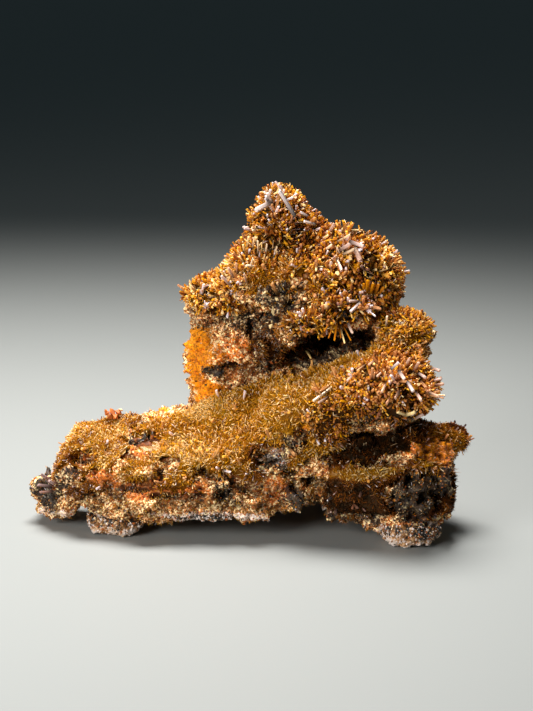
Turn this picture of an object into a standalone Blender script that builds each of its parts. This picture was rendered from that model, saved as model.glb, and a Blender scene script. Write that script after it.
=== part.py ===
"""A cabinet specimen of vanadinite on a rusty gossan matrix, as solids at real size.

The rock is one boot-shaped solid: a low slab with a toe, a long slope that climbs to a stack of lobes,
and a tower on the back of the slab. Vanadinite grew over it as crusts, each a closed shell that lies
just off the rock, with stout six-sided prisms fused to it. Sprays of the largest prisms are solids of
their own, and so are the pale calcite crusts round the feet.
"""

import math
import random

import bmesh
import bpy
from mathutils import Matrix, Vector
from mathutils.bvhtree import BVHTree

MM = 0.001
GAP = 0.4 * MM  # clearance that every piece keeps to what carries it
ROCK_VOXEL = 1.3 * MM
CRUST_VOXEL = 1.1 * MM
PATCH_FACES = 360  # triangles of a patch that bounds a crust
ROCK_FACES = 1600  # triangles left in the rock
CRAG_SIZE, CRAG_HEIGHT = 10.0 * MM, 3.4 * MM  # broken blocks on the rock
LUMP_SIZE, LUMP_HEIGHT = 4.5 * MM, 1.6 * MM  # knobs between them
CRUST_THICK = 1.9 * MM  # how far a crust of vanadinite stands off the rock
FILM_THICK = 1.2 * MM  # how far the pale crusts do
REACH = 3.0  # mm that a crust's patch reaches past the forms that carry it, the way it grew
SPREAD = 1.0  # mm that it reaches past them at its sides
GROUND_HALF, GROUND_DEEP = 90, 10  # mm, the block that cuts the feet flat
PRISM_SIDES = 6
PRISM_RADIUS = (0.55, 0.85)  # mm
PRISM_OUT = (1.3, 2.8)  # mm that a fused prism stands out of its crust
PRISM_ROOT = 1.2 * MM  # how deep it is rooted
PRISM_ROOM = 3.4 * MM  # least distance between two roots
PRISM_FACING = 0.45  # least cosine between the crust's normal and the way it grew
PRISM_CLEAR = 4.5 * MM  # least distance from a root to another crust's patch
PRISM_TAPER = 0.9  # width at the tip over width at the root
SPRAY_RADIUS = (0.5, 0.8)  # mm
PALE_FACES = 110  # triangles left in the skin of a pale crust
DRUSE_CLEAR = 7.4  # mm, the height that the druses stay above
PALE_CLEAR = 0.5  # mm that the pale crusts keep off the ground

# Forms of the rock: kind, centre, half sizes (mm), tilt (degrees, anticlockwise seen from the front)
# and pitch (degrees, leaning its top face forwards).
FORMS = {
    "toe": ("ball", (-37, 2, 12), (11.5, 11.5, 9.5), 20, 0),
    "toe_top": ("block", (-35, 6, 16.5), (8.5, 7.5, 4.6), 8, 10),
    "toe_tip": ("ball", (-46.5, 4, 5.8), (6.8, 7.5, 4.4), 8, 0),
    "toe_spur": ("ball", (-51, 4, 9), (2.2, 3.5, 2.2), -30, 0),
    "toe_knob": ("ball", (-34, 11, 22.5), (2.8, 2.8, 2.2), 0, 0),
    "left_foot": ("ball", (-33, -5, 4), (6, 6, 6), 0, 0),
    "sole": ("block", (-10, 3, 13.5), (26, 14.5, 6.5), 3, 0),
    "sole_front": ("ball", (-10, -9, 10), (27, 6, 3.6), 0, 0),
    "back_ledge": ("ball", (-20, 12, 20.3), (12, 8, 4.5), 4, 0),
    "slope": ("block", (-3, -1, 19.5), (25, 12, 6.3), 20, 38),
    "slope_high": ("ball", (17, -4, 32), (15, 11.5, 8.5), 30, 20),
    "right_lobe": ("ball", (32.5, -8, 35), (11, 10.5, 8.8), 15, 0),
    "upper_lobe": ("ball", (36, 1, 46), (6, 7, 5.8), 0, 0),
    "right_block": ("block", (32, -3, 12.8), (15, 13, 9), -9, 0),
    "right_cheek": ("ball", (37.5, -5, 18), (10, 10.5, 9), 10, 0),
    "right_nose": ("ball", (47, 0, 20), (5, 6, 4.8), 0, 0),
    "right_foot": ("ball", (38, -13, 4), (5.5, 5.5, 5.5), 0, 0),
    "tower": ("block", (3, 16, 40.5), (18.5, 10, 17.5), 2, 0),
    "tower_core": ("ball", (21, 17, 45), (12, 9, 14), 0, 0),
    "tower_head": ("ball", (12, 11, 57.5), (18, 12, 9.5), -6, 0),
    "tower_brow": ("ball", (-7, 15, 52.5), (9.5, 10, 5), 8, 0),
    "tower_lip": ("ball", (17, 2, 50.5), (11, 7.5, 4.2), 16, 0),
    "shoulder": ("ball", (28, 9, 58.5), (7.6, 8.5, 9.7), 10, 0),
    "shoulder_bump": ("ball", (22.5, 10, 66), (6, 6.5, 5.2), 0, 0),
    "peak": ("ball", (7.8, 12, 69.5), (8.2, 7.5, 7.5), 0, 0),
    "peak_tip": ("ball", (6.8, 12, 75.7), (4.6, 4.6, 4.8), 0, 0),
    "back_slab": ("block", (8, 19, 13), (26, 8, 8.5), 0, 0),
    "back_hip": ("ball", (28, 14, 22), (12.5, 10.5, 12), 0, 0),
    "back_left_foot": ("ball", (-24, 17, 3.2), (7, 6, 6.5), 0, 0),
    "back_right_foot": ("ball", (27, 19, 4.5), (8, 6, 6), 0, 0),
}

# Hollows cut out of it: centre, half sizes (mm), tilt (degrees).
HOLLOWS = {
    "crevice": ((15.5, -3, 42.5), (13, 19, 6.7), 25),
    "arch": ((-7, 0, 0.5), (23, 90, 6.2), 0),
    "slit": ((13.5, 0, 5), (2.2, 22, 7), 0),
    "lobe_hollow": ((27, -17, 24), (11, 9, 3.8), 27),
    "shoulder_hollow": ((26, -3, 59), (2.8, 7, 5), -10),
    "peak_hollow": ((11, 4, 67.5), (4, 5, 2), -10),
    "toe_pit": ((-24, -8, 22), (4.5, 6, 2), -12),
    "sole_crack": ((-19, -16, 12), (8, 6, 1.1), 0),
    "crevice_depth": ((17, 15, 44), (9, 5, 4.5), 25),
}

# Crusts: the forms that carry each, the way it grew, triangles left in its skin, prisms fused to it.
CRUSTS = {
    "summit_druse": (
        ("peak", "peak_tip", "shoulder_bump", "shoulder", "tower_head", "tower_lip", "tower_brow"),
        (0, -0.6, 0.8), 460, 30,
    ),
    "slope_druse": (("slope", "slope_high", "right_lobe", "upper_lobe"), (0.1, -0.6, 0.8), 400, 28),
    "toe_druse": (("toe", "toe_top"), (-0.2, -0.5, 0.8), 150, 9),
    "block_druse": (("right_block", "right_cheek", "right_nose"), (0.3, -0.9, 0.3), 160, 8),
    "crevice_druse": (("crevice_depth",), (0, 0, 0), 110, 0),
}

# Sprays of the largest prisms: the crust that each is fused to, where it stands seen from the front
# (x and z, mm), the way it grew, its prisms and how far they reach (mm).
SPRAYS = (
    ("summit_druse", (5.4, 76.0), (0.0, -0.8, 0.6), 7, 6.0),
    ("summit_druse", (22.5, 67.5), (0.2, -0.8, 0.6), 7, 5.5),
    ("summit_druse", (-2.5, 60.0), (-0.5, -0.7, 0.5), 5, 4.5),
    ("summit_druse", (26.5, 55.0), (0.3, -0.9, 0.1), 6, 5.0),
    ("slope_druse", (16.0, 36.5), (-0.3, -0.7, 0.6), 5, 4.5),
    ("slope_druse", (33.0, 40.5), (0.1, -0.8, 0.6), 7, 5.5),
    ("slope_druse", (40.5, 37.0), (0.6, -0.7, 0.4), 6, 5.0),
)

# Pale crusts at the foot of the rock: centre and half sizes (mm) of the patch that each covers.
PALE_CRUSTS = {
    "left_foot_calcite": ((-35, -9, 2.6), (9, 6, 2.9)),
    "right_foot_calcite": ((37, -17, 3), (9, 6.5, 3.1)),
    "sole_calcite": ((-12, -11, 6.1), (10, 6, 1.1)),
}

RUST = ("#6B4A22", 0.9)
CRYSTAL = ("#B4700E", 0.3)
CALCITE = ("#D8CCBF", 0.6)


def clear_scene():
    for thing in list(bpy.data.objects):
        bpy.data.objects.remove(thing)


def shelf(name):
    """A collection in the scene."""
    made = bpy.data.collections.new(name)
    bpy.context.scene.collection.children.link(made)
    return made


def form_matrix(centre, half, tilt, pitch=0):
    place = Matrix.Translation(Vector(centre) * MM)
    turn = Matrix.Rotation(math.radians(-tilt), 4, "Y") @ Matrix.Rotation(math.radians(pitch), 4, "X")
    return place @ turn @ Matrix.Diagonal((*[h * MM for h in half], 1))


def add_form(bm, kind, centre, half, tilt, pitch=0):
    """A rounded lump, or a box with its edges knocked off."""
    matrix = form_matrix(centre, half, tilt, pitch)
    if kind == "ball":
        bmesh.ops.create_icosphere(bm, subdivisions=4, radius=1, matrix=matrix)
        return
    made = bmesh.ops.create_cube(bm, size=2, matrix=matrix)
    edges = dict.fromkeys(edge for vert in made["verts"] for edge in vert.link_edges)
    worn = min(half) * MM * 0.5
    bmesh.ops.bevel(bm, geom=list(edges), offset=worn, segments=2, affect="EDGES", profile=0.5)


def mesh_object(name, bm, group):
    mesh = bpy.data.meshes.new(name)
    bm.to_mesh(mesh)
    bm.free()
    made = bpy.data.objects.new(name, mesh)
    group.objects.link(made)
    return made


def apply_modifiers(thing):
    """The object's mesh becomes what its modifiers make of it."""
    graph = bpy.context.evaluated_depsgraph_get()
    mesh = bpy.data.meshes.new_from_object(thing.evaluated_get(graph))
    thing.modifiers.clear()
    thing.data = mesh


def voxel_join(thing, voxel):
    """Forms that overlap become one closed skin."""
    remesh = thing.modifiers.new("join", "REMESH")
    remesh.mode = "VOXEL"
    remesh.voxel_size = voxel


def roughen(thing, name, kind, size, height):
    """Moves the skin in and out by a noise of this grain."""
    texture = bpy.data.textures.get(name) or bpy.data.textures.new(name, kind)
    texture.noise_scale = size
    displace = thing.modifiers.new(name, "DISPLACE")
    displace.texture = texture
    displace.texture_coords = "GLOBAL"
    displace.strength = height
    displace.mid_level = 0.5


def weather(thing):
    roughen(thing, "crags", "VORONOI", CRAG_SIZE, CRAG_HEIGHT)
    roughen(thing, "lumps", "CLOUDS", LUMP_SIZE, LUMP_HEIGHT)


def thin(thing, faces):
    """Keeps about this many triangles."""
    thing.data.calc_loop_triangles()
    decimate = thing.modifiers.new("thin", "DECIMATE")
    decimate.ratio = min(1.0, faces / len(thing.data.loop_triangles))
    decimate.use_collapse_triangulate = True


def boolean(thing, other, operation, use_self=False):
    cut = thing.modifiers.new(operation.lower(), "BOOLEAN")
    cut.operation = operation
    cut.object = other
    cut.solver = "EXACT"
    cut.use_self = use_self


def keep_largest(thing):
    """Drops the crumbs that a cut leaves."""
    bm = bmesh.new()
    bm.from_mesh(thing.data)
    left, islands = set(bm.verts), []
    while left:
        island, edge_of_it = set(), [next(iter(left))]
        while edge_of_it:
            vert = edge_of_it.pop()
            if vert in island:
                continue
            island.add(vert)
            edge_of_it.extend(edge.other_vert(vert) for edge in vert.link_edges)
        left -= island
        islands.append(island)
    largest = max(islands, key=len)
    bmesh.ops.delete(bm, geom=[v for v in bm.verts if v not in largest], context="VERTS")
    bm.to_mesh(thing.data)
    bm.free()


def grown_copy(thing, by, tools):
    """The same body a little fatter, for cutting room round it."""
    copy = bpy.data.objects.new(thing.name + "_room", thing.data.copy())
    tools.objects.link(copy)
    swell = copy.modifiers.new("swell", "DISPLACE")
    swell.strength = by
    swell.mid_level = 0
    apply_modifiers(copy)
    return copy


def make_hollows(tools):
    bm = bmesh.new()
    for centre, half, tilt in HOLLOWS.values():
        add_form(bm, "ball", centre, half, tilt)
    hollows = mesh_object("hollows", bm, tools)
    voxel_join(hollows, ROCK_VOXEL * 0.6)
    apply_modifiers(hollows)
    return hollows


def make_ground(name, tools, top):
    """A block whose top face cuts what stands on the ground."""
    bm = bmesh.new()
    centre = (0, 0, top - GROUND_DEEP)
    bmesh.ops.create_cube(bm, size=2, matrix=form_matrix(centre, (GROUND_HALF, GROUND_HALF, GROUND_DEEP), 0))
    return mesh_object(name, bm, tools)


def make_rock(parts, hollows):
    """The rock at full grain, from which the crusts take their shape too."""
    bm = bmesh.new()
    for form in FORMS.values():
        add_form(bm, *form)
    rock = mesh_object("gossan_matrix", bm, parts)
    voxel_join(rock, ROCK_VOXEL)
    boolean(rock, hollows, "DIFFERENCE")
    voxel_join(rock, ROCK_VOXEL)
    weather(rock)
    apply_modifiers(rock)
    return rock


def make_coat(rock, thick, tools):
    """The rock with all of a crust on it, this thick."""
    coat = grown_copy(rock, thick, tools)
    voxel_join(coat, CRUST_VOXEL)
    apply_modifiers(coat)
    return coat


def make_patch(name, tools):
    """The room in which a crust grew: its forms, wider and moved along the way it grew."""
    forms, growth, _, _ = CRUSTS[name]
    bm = bmesh.new()
    lift = Vector(growth).normalized() * REACH
    for form in forms:
        kind, centre, half, tilt, pitch = FORMS.get(form) or ("ball", *HOLLOWS[form], 0)
        add_form(bm, kind, Vector(centre) + lift, [h + SPREAD for h in half], tilt, pitch)
    patch = mesh_object(name + "_patch", bm, tools)
    voxel_join(patch, CRUST_VOXEL)
    apply_modifiers(patch)
    thin(patch, PATCH_FACES)
    apply_modifiers(patch)
    return patch


def make_crust(name, parts, tools, coat, cutters, patches):
    """The part of the coat in its patch, with its prisms, hollowed out by what it grew on."""
    _, growth, faces, prisms = CRUSTS[name]
    crust = bpy.data.objects.new(name, patches[name].data.copy())
    parts.objects.link(crust)
    boolean(crust, coat, "INTERSECT")
    voxel_join(crust, CRUST_VOXEL)
    apply_modifiers(crust)
    thin(crust, faces)
    apply_modifiers(crust)
    if prisms:
        others = [tree_of(patch) for other, patch in patches.items() if other != name]
        grown = make_prisms(crust, Vector(growth).normalized(), prisms, others, tools)
        boolean(crust, grown, "UNION", True)
    finish(crust, cutters)
    return crust


def finish(thing, cutters):
    """Takes away what the neighbours fill, and the crumbs that leaves."""
    for cutter in cutters:
        boolean(thing, cutter, "DIFFERENCE", True)
    apply_modifiers(thing)
    keep_largest(thing)


def tree_of(thing):
    bm = bmesh.new()
    bm.from_mesh(thing.data)
    tree = BVHTree.FromBMesh(bm)
    bm.free()
    return tree


def astray(rng, direction, by):
    """The direction, turned a little to any side."""
    off = Vector([rng.uniform(-1, 1) for _ in range(3)])
    return (direction + off * by).normalized()


def add_prism(bm, root, direction, radius, depth, length):
    """A six-sided prism from this far under its root to this far above."""
    turn = direction.to_track_quat("Z", "Y").to_matrix().to_4x4()
    middle = root + direction * (length - depth) / 2
    bmesh.ops.create_cone(
        bm, segments=PRISM_SIDES, cap_ends=True, radius1=radius, radius2=radius * PRISM_TAPER,
        depth=length + depth, matrix=Matrix.Translation(middle) @ turn,
    )


def make_prisms(crust, growth, count, others, tools):
    """All the prisms of a crust, those of its sprays with them."""
    rng = random.Random(crust.name)
    tree = tree_of(crust)
    bm = bmesh.new()
    roots = [add_spray(bm, tree, rng, *spray[1:]) for spray in SPRAYS if spray[0] == crust.name]
    scatter_prisms(bm, tree, rng, growth, count, roots, others)
    return mesh_object(crust.name + "_prisms", bm, tools)


def scatter_prisms(bm, tree, rng, growth, count, roots, others):
    """Prisms that stand on the crust, well apart, roughly along the way it grew."""
    box = Vector((GROUND_HALF, GROUND_HALF, GROUND_HALF)) * MM
    count += len(roots)
    while len(roots) < count:
        start = Vector([rng.uniform(-box[k], box[k]) for k in range(3)])
        hit, normal, _, _ = tree.ray_cast(start, -growth)
        if hit is None or normal.dot(growth) < PRISM_FACING:
            continue
        if any((hit - root).length < PRISM_ROOM for root in roots):
            continue
        if any(other.find_nearest(hit)[3] < PRISM_CLEAR for other in others):
            continue
        roots.append(hit)
        direction = astray(rng, (normal * 2 + growth).normalized(), 0.4)
        radius, out = rng.uniform(*PRISM_RADIUS) * MM, rng.uniform(*PRISM_OUT) * MM
        add_prism(bm, hit, direction, radius, PRISM_ROOT, out)


def add_spray(bm, tree, rng, place, growth, count, reach):
    """Prisms that radiate from one point of the crust, which it returns."""
    growth = Vector(growth).normalized()
    start = Vector((place[0] * MM, -GROUND_HALF * MM, place[1] * MM))
    root = tree.ray_cast(start, Vector((0, 1, 0)))[0]
    side = growth.orthogonal().normalized()
    for k in range(count):
        around = Matrix.Rotation(math.tau * k / count, 3, growth) @ side
        lean = 0.15 if k % 3 == 0 else 0.75
        direction = astray(rng, (growth + around * lean).normalized(), 0.2)
        length = reach * rng.uniform(0.6, 1) * MM
        add_prism(bm, root, direction, rng.uniform(*SPRAY_RADIUS) * MM, PRISM_ROOT / 2, length)
    return root


def make_pale_crust(name, parts, film, cutters):
    centre, half = PALE_CRUSTS[name]
    bm = bmesh.new()
    add_form(bm, "ball", centre, half, 0)
    crust = mesh_object(name, bm, parts)
    boolean(crust, film, "INTERSECT")
    voxel_join(crust, CRUST_VOXEL)
    apply_modifiers(crust)
    thin(crust, PALE_FACES)
    finish(crust, cutters)
    return crust


def paint(thing, look):
    """A material of its own, in this colour and roughness."""
    colour, roughness = look
    linear = [((int(colour[k:k + 2], 16) / 255 + 0.055) / 1.055) ** 2.4 for k in (1, 3, 5)]
    material = bpy.data.materials.new(thing.name)
    material.use_nodes = True
    shader = material.node_tree.nodes["Principled BSDF"]
    shader.inputs["Base Color"].default_value = (*linear, 1)
    shader.inputs["Roughness"].default_value = roughness
    shader.inputs["Metallic"].default_value = 0
    thing.data.materials.clear()
    thing.data.materials.append(material)


def centre_over_origin(parts):
    """Moves the whole so that its box stands centred over the origin."""
    points = [v.co for thing in parts.objects for v in thing.data.vertices]
    middle = [(min(p[k] for p in points) + max(p[k] for p in points)) / 2 for k in range(2)]
    specimen = bpy.data.objects.new("specimen", None)
    things = list(parts.objects)
    parts.objects.link(specimen)
    for thing in things:
        thing.parent = specimen
    specimen.location = (-middle[0], -middle[1], 0)


def main():
    clear_scene()
    parts = shelf("vanadinite_on_matrix")
    tools = shelf("tools")
    tools.hide_render = True
    hollows = make_hollows(tools)
    rock = make_rock(parts, hollows)
    coat, film = make_coat(rock, CRUST_THICK, tools), make_coat(rock, FILM_THICK, tools)
    thin(rock, ROCK_FACES)
    boolean(rock, make_ground("ground", tools, 0), "DIFFERENCE")
    apply_modifiers(rock)
    paint(rock, RUST)
    room = grown_copy(rock, GAP, tools)
    cutters = [room, make_ground("below_druses", tools, DRUSE_CLEAR)]
    patches = {name: make_patch(name, tools) for name in CRUSTS}
    for name in CRUSTS:
        crust = make_crust(name, parts, tools, coat, cutters, patches)
        paint(crust, CRYSTAL)
        cutters.append(grown_copy(patches[name], 2 * GAP, tools))
    below = make_ground("below_calcite", tools, PALE_CLEAR)
    for name in PALE_CRUSTS:
        paint(make_pale_crust(name, parts, film, [room, below]), CALCITE)
    centre_over_origin(parts)
    for thing in tools.objects:
        thing.hide_render = True
        thing.display_type = "WIRE"


main()
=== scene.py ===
"""Looks of a vanadinite specimen: crusts of needles and prisms on craggy rock, with calcite skins."""

import math

import bpy
import numpy as np
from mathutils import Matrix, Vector
from mathutils.bvhtree import BVHTree


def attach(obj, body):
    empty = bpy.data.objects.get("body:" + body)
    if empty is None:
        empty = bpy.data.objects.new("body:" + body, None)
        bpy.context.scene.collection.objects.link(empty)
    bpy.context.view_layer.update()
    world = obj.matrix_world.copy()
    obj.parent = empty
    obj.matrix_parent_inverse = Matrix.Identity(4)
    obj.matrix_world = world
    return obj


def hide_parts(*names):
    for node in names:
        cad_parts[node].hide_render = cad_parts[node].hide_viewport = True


bl_info = {
    "name": "Vanadinite on matrix", "version": (1, 0, 0), "blender": (4, 5, 0),
    "location": "3D View > Sidebar > Specimen",
    "description": "Rebuilds the rock, its needle crusts and its calcite skins over the packed solids",
    "category": "Object",
}

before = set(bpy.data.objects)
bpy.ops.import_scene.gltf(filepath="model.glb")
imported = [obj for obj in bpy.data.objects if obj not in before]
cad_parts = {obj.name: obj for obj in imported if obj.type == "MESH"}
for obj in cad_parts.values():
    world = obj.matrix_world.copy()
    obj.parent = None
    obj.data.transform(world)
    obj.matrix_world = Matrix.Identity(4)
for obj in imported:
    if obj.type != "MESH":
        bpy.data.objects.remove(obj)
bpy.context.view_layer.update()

MM = 0.001
SEED = 20

# Size of the small faces that each form is remade in, in mm.
ROCK_VOXEL = 0.58
CRUST_VOXEL = 1.0
CALCITE_VOXEL = 0.34

# Tallest that a crust's ground and needles may be over the rock, in mm.
CRUST_TALL = 2.5

# Grains on each calcite skin, and grains and fine needles on the bare rock.
CALCITE_CRUMBS = 700
ROCK_CRUMBS = 12000
MATRIX_NEEDLES = 24000

CRUST_NODES = ("summit_druse", "slope_druse", "toe_druse", "block_druse", "crevice_druse")
CALCITE_NODES = ("left_foot_calcite", "right_foot_calcite", "sole_calcite")


# ---------------------------------------------------------------- numbers and noise
# The last number given to swell, pebbles and chance only picks another noise of the same kind.


def linear(code):
    """Linear colour of an sRGB hex code."""
    parts = [int(code[k : k + 2], 16) / 255 for k in (1, 3, 5)]
    return [c / 12.92 if c <= 0.04045 else ((c + 0.055) / 1.055) ** 2.4 for c in parts]


def unit(vectors):
    """The vectors at length one."""
    return vectors / np.maximum(np.linalg.norm(vectors, axis=-1, keepdims=True), 1e-9)


def smooth(low, high, values):
    """0 below low, 1 above high, and an S between."""
    t = np.clip((values - low) / (high - low), 0, 1)
    return t * t * (3 - 2 * t)


def chance(cells, seed):
    """A number from 0 to 1 for each whole-number cell, always the same one."""
    x, y, z = (cells[..., k].astype(np.int64) for k in range(3))
    h = x * 73856093 ^ y * 19349663 ^ z * 83492791 ^ (seed * 2654435761)
    h = (h ^ (h >> 13)) * 1274126177 & 0x7FFFFFFF
    return ((h ^ (h >> 16)) & 0xFFFFFF) / 0xFFFFFF


def swell(points, size, seed):
    """Smooth noise from -1 to 1 with lumps of this size."""
    p = points / size
    cell = np.floor(p)
    f = p - cell
    f = f * f * (3 - 2 * f)
    total = np.zeros(len(points))
    for corner in np.ndindex(2, 2, 2):
        step = np.array(corner)
        weight = np.prod(np.where(step, f, 1 - f), axis=1)
        total += weight * chance(cell + step, seed)
    return total * 2 - 1


def pebbles(points, size, seed):
    """Distance to the nearest seed of a loose packing, 0 at a seed and about 1 between them."""
    p = points / size
    cell = np.floor(p)
    best = np.full(len(points), 9.0)
    for corner in np.ndindex(3, 3, 3):
        near = cell + np.array(corner) - 1
        at = near + np.stack([chance(near, seed + k) for k in range(3)], axis=1)
        best = np.minimum(best, ((p - at) ** 2).sum(1))
    return np.sqrt(best)


def painted(points, base, balls, edge=0.35, seed=7):
    """base everywhere, moving to each ball's own value inside it.

    A ball is its value, its centre and its half sizes, in mm. The noise makes its edge wander.
    """
    wander = [swell(points, 4.5, seed + k) + 0.5 * swell(points, 1.6, seed + k + 3) for k in range(3)]
    wander = np.stack(wander, 1)
    value = np.full(len(points), float(base))
    for level, centre, half in balls:
        moved = points + wander * min(1.7, 0.5 * min(half))
        far = np.linalg.norm((moved - centre) / np.array(half), axis=1)
        inside = 1 - smooth(1 - edge, 1 + edge, far)
        value = value * (1 - inside) + level * inside
    return value


def pit_depth(points):
    """How deep the pits are here, in mm."""
    return painted(points, 0, PITS, edge=0.25, seed=94)


def bare_share(points):
    """How far the rock shows through a crust, 0 to 1."""
    patches = smooth(0.12, 0.36, swell(points, 4.2, 91)) * painted(points, 0, PATCHY, seed=92)
    bald = painted(points, 0, BALD, edge=0.25, seed=93)
    return np.maximum.reduce([bald, patches, pit_depth(points).clip(0, 1)])


def rock_share(label, points):
    """The share of one of the rock's colours here, 0 to 1."""
    base, balls, seed = ROCK_PAINT[label]
    return painted(points, base, balls, seed=seed)


# ---------------------------------------------------------------- meshes


def arrays(mesh):
    """Corners in mm and triangles of a mesh, with split corners joined again."""
    mesh.calc_loop_triangles()
    co = np.empty(len(mesh.vertices) * 3)
    mesh.vertices.foreach_get("co", co)
    tris = np.empty(len(mesh.loop_triangles) * 3, int)
    mesh.loop_triangles.foreach_get("vertices", tris)
    co = co.reshape(-1, 3) / MM
    _, first, same = np.unique(np.round(co, 4), axis=0, return_index=True, return_inverse=True)
    tris = same.reshape(-1)[tris].reshape(-1, 3)
    whole = (tris[:, 0] != tris[:, 1]) & (tris[:, 1] != tris[:, 2]) & (tris[:, 0] != tris[:, 2])
    return co[first], tris[whole]


def tree_of(points, tris):
    """Search tree over a surface, in mm."""
    return BVHTree.FromPolygons([Vector(p) for p in points], tris.tolist())


def nearest(tree, points):
    """Nearest surface points."""
    return np.array([tree.find_nearest(Vector(p))[0] for p in points])


def faces_of(points, tris):
    """Centre, outward normal and area of each triangle."""
    a, b, c = (points[tris[:, k]] for k in range(3))
    cross = np.cross(b - a, c - a)
    size = np.linalg.norm(cross, axis=1)
    return (a + b + c) / 3, cross / np.maximum(size, 1e-12)[:, None], size / 2


def corner_normals(points, tris):
    """Outward normal at each corner."""
    _, normal, area = faces_of(points, tris)
    total = np.zeros_like(points)
    for k in range(3):
        np.add.at(total, tris[:, k], normal * area[:, None])
    return unit(total)


def relaxed(points, tris, rounds):
    """Corners drawn towards their neighbours' middle, which rounds off flat facets."""
    edges = np.concatenate([tris[:, [0, 1]], tris[:, [1, 2]], tris[:, [2, 0]]])
    count = np.bincount(edges[:, 0], minlength=len(points)) + np.bincount(
        edges[:, 1], minlength=len(points),
    )
    for _ in range(rounds):
        total = np.zeros_like(points)
        np.add.at(total, edges[:, 0], points[edges[:, 1]])
        np.add.at(total, edges[:, 1], points[edges[:, 0]])
        points = points * 0.4 + 0.6 * total / count[:, None]
    return points


def regrown(points, tris, voxel):
    """The same closed form as even small faces."""
    mesh = bpy.data.meshes.new("form")
    mesh.from_pydata((points * MM).tolist(), [], tris.tolist())
    form = bpy.data.objects.new("form", mesh)
    bpy.context.scene.collection.objects.link(form)
    remesh = form.modifiers.new("even", "REMESH")
    remesh.mode = "VOXEL"
    remesh.voxel_size = voxel * MM
    bpy.context.view_layer.update()
    grown = bpy.data.meshes.new_from_object(form.evaluated_get(bpy.context.evaluated_depsgraph_get()))
    result = arrays(grown)
    bpy.data.objects.remove(form)
    bpy.data.meshes.remove(mesh)
    bpy.data.meshes.remove(grown)
    return result


class Build:
    """Gathers corners, faces and per-corner values, and makes one mesh of them."""

    def __init__(self):
        """Starts with nothing in it."""
        self.points, self.loops, self.sizes, self.finish, self.values = [], [], [], [], {}
        self.count = 0

    def add(self, points, loops, sizes, finish=0, **values):
        """Takes in corners in mm, the faces' corner numbers and sizes, a finish, and values by name."""
        self.points.append(points)
        self.loops.append(loops + self.count)
        self.sizes.append(sizes)
        self.finish.append(np.full(len(sizes), finish))
        for name, value in values.items():
            self.values.setdefault(name, []).append(np.broadcast_to(value, len(points)))
        self.count += len(points)

    def piece(self, name, materials, smooth_finish=()):
        """The object made of all that was added; faces of a smooth finish are shaded round."""
        mesh = bpy.data.meshes.new(name)
        points = np.concatenate(self.points) * MM
        loops, sizes, finish = (np.concatenate(x) for x in (self.loops, self.sizes, self.finish))
        mesh.vertices.add(len(points))
        mesh.vertices.foreach_set("co", points.ravel())
        mesh.loops.add(len(loops))
        mesh.loops.foreach_set("vertex_index", loops)
        mesh.polygons.add(len(sizes))
        mesh.polygons.foreach_set("loop_start", np.concatenate([[0], np.cumsum(sizes)[:-1]]))
        mesh.polygons.foreach_set("loop_total", sizes)
        for material in materials:
            mesh.materials.append(material)
        mesh.polygons.foreach_set("material_index", finish)
        mesh.polygons.foreach_set("use_smooth", np.isin(finish, smooth_finish))
        for label, parts in self.values.items():
            mesh.attributes.new(label, "FLOAT", "POINT").data.foreach_set("value", np.concatenate(parts))
        mesh.update()
        mesh.validate()
        piece = bpy.data.objects.new(name, mesh)
        bpy.context.scene.collection.objects.link(piece)
        return piece


def crystals(build, tips, axes, lengths, radii, sides, taper, rng, finish=0, point=0.0, **values):
    """Adds closed straight prisms, or spikes where taper is 0; tips and axes say where each ends.

    point is the height of an end's pyramid in radii.
    """
    n = len(tips)
    if not n:
        return
    axes = unit(axes)
    aside = np.where(np.abs(axes[:, 2:]) < 0.9, [[0.0, 0, 1]], [[1.0, 0, 0]])
    u = unit(np.cross(axes, aside))
    v = np.cross(axes, u)
    turn = rng.uniform(0, math.tau, n)[:, None] + np.arange(sides) * math.tau / sides
    ring = np.cos(turn)[..., None] * u[:, None] + np.sin(turn)[..., None] * v[:, None]
    lengths, radii = (np.broadcast_to(x, n).astype(float) for x in (lengths, radii))
    roots = tips - axes * lengths[:, None]
    low = roots[:, None] + ring * radii[:, None, None]
    k = np.arange(sides)
    after = (k + 1) % sides
    parts, loops, sizes = [low], [k[::-1]], [sides]
    if taper:
        lean = np.cos(
            turn + rng.uniform(0, math.tau, (n, 1))
        ) * rng.uniform(0, 0.6, (n, 1)) * radii[:, None]
        shoulder = tips - axes * (radii * point)[:, None]
        rim = shoulder[:, None] + ring * (radii * taper)[:, None, None]
        parts.append(rim + axes[:, None] * lean[..., None])
        loops.append(np.stack([k, after, after + sides, k + sides], 1).ravel())
        sizes += [4] * sides
    if point or not taper:
        first = sides if taper else 0
        parts.append(tips[:, None])
        loops.append(np.stack([k + first, after + first, np.full(sides, first + sides)], 1).ravel())
        sizes += [3] * sides
    else:
        loops.append(k + sides)
        sizes.append(sides)
    points = np.concatenate(parts, axis=1)
    each = points.shape[1]
    loops = np.concatenate(loops)
    offsets = np.arange(n)[:, None] * each
    along = np.ones(each)
    along[:sides] = 0
    spread = {name: np.repeat(np.broadcast_to(value, n), each) for name, value in values.items()}
    build.add(
        points.reshape(-1, 3), (loops + offsets).ravel(), np.tile(sizes, n), finish,
        along=np.tile(along, n), **spread,
    )


# ---------------------------------------------------------------- where the specimen changes, in mm

# Most tables give each crust its base value and the balls, in mm, where the value is another one.

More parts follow.
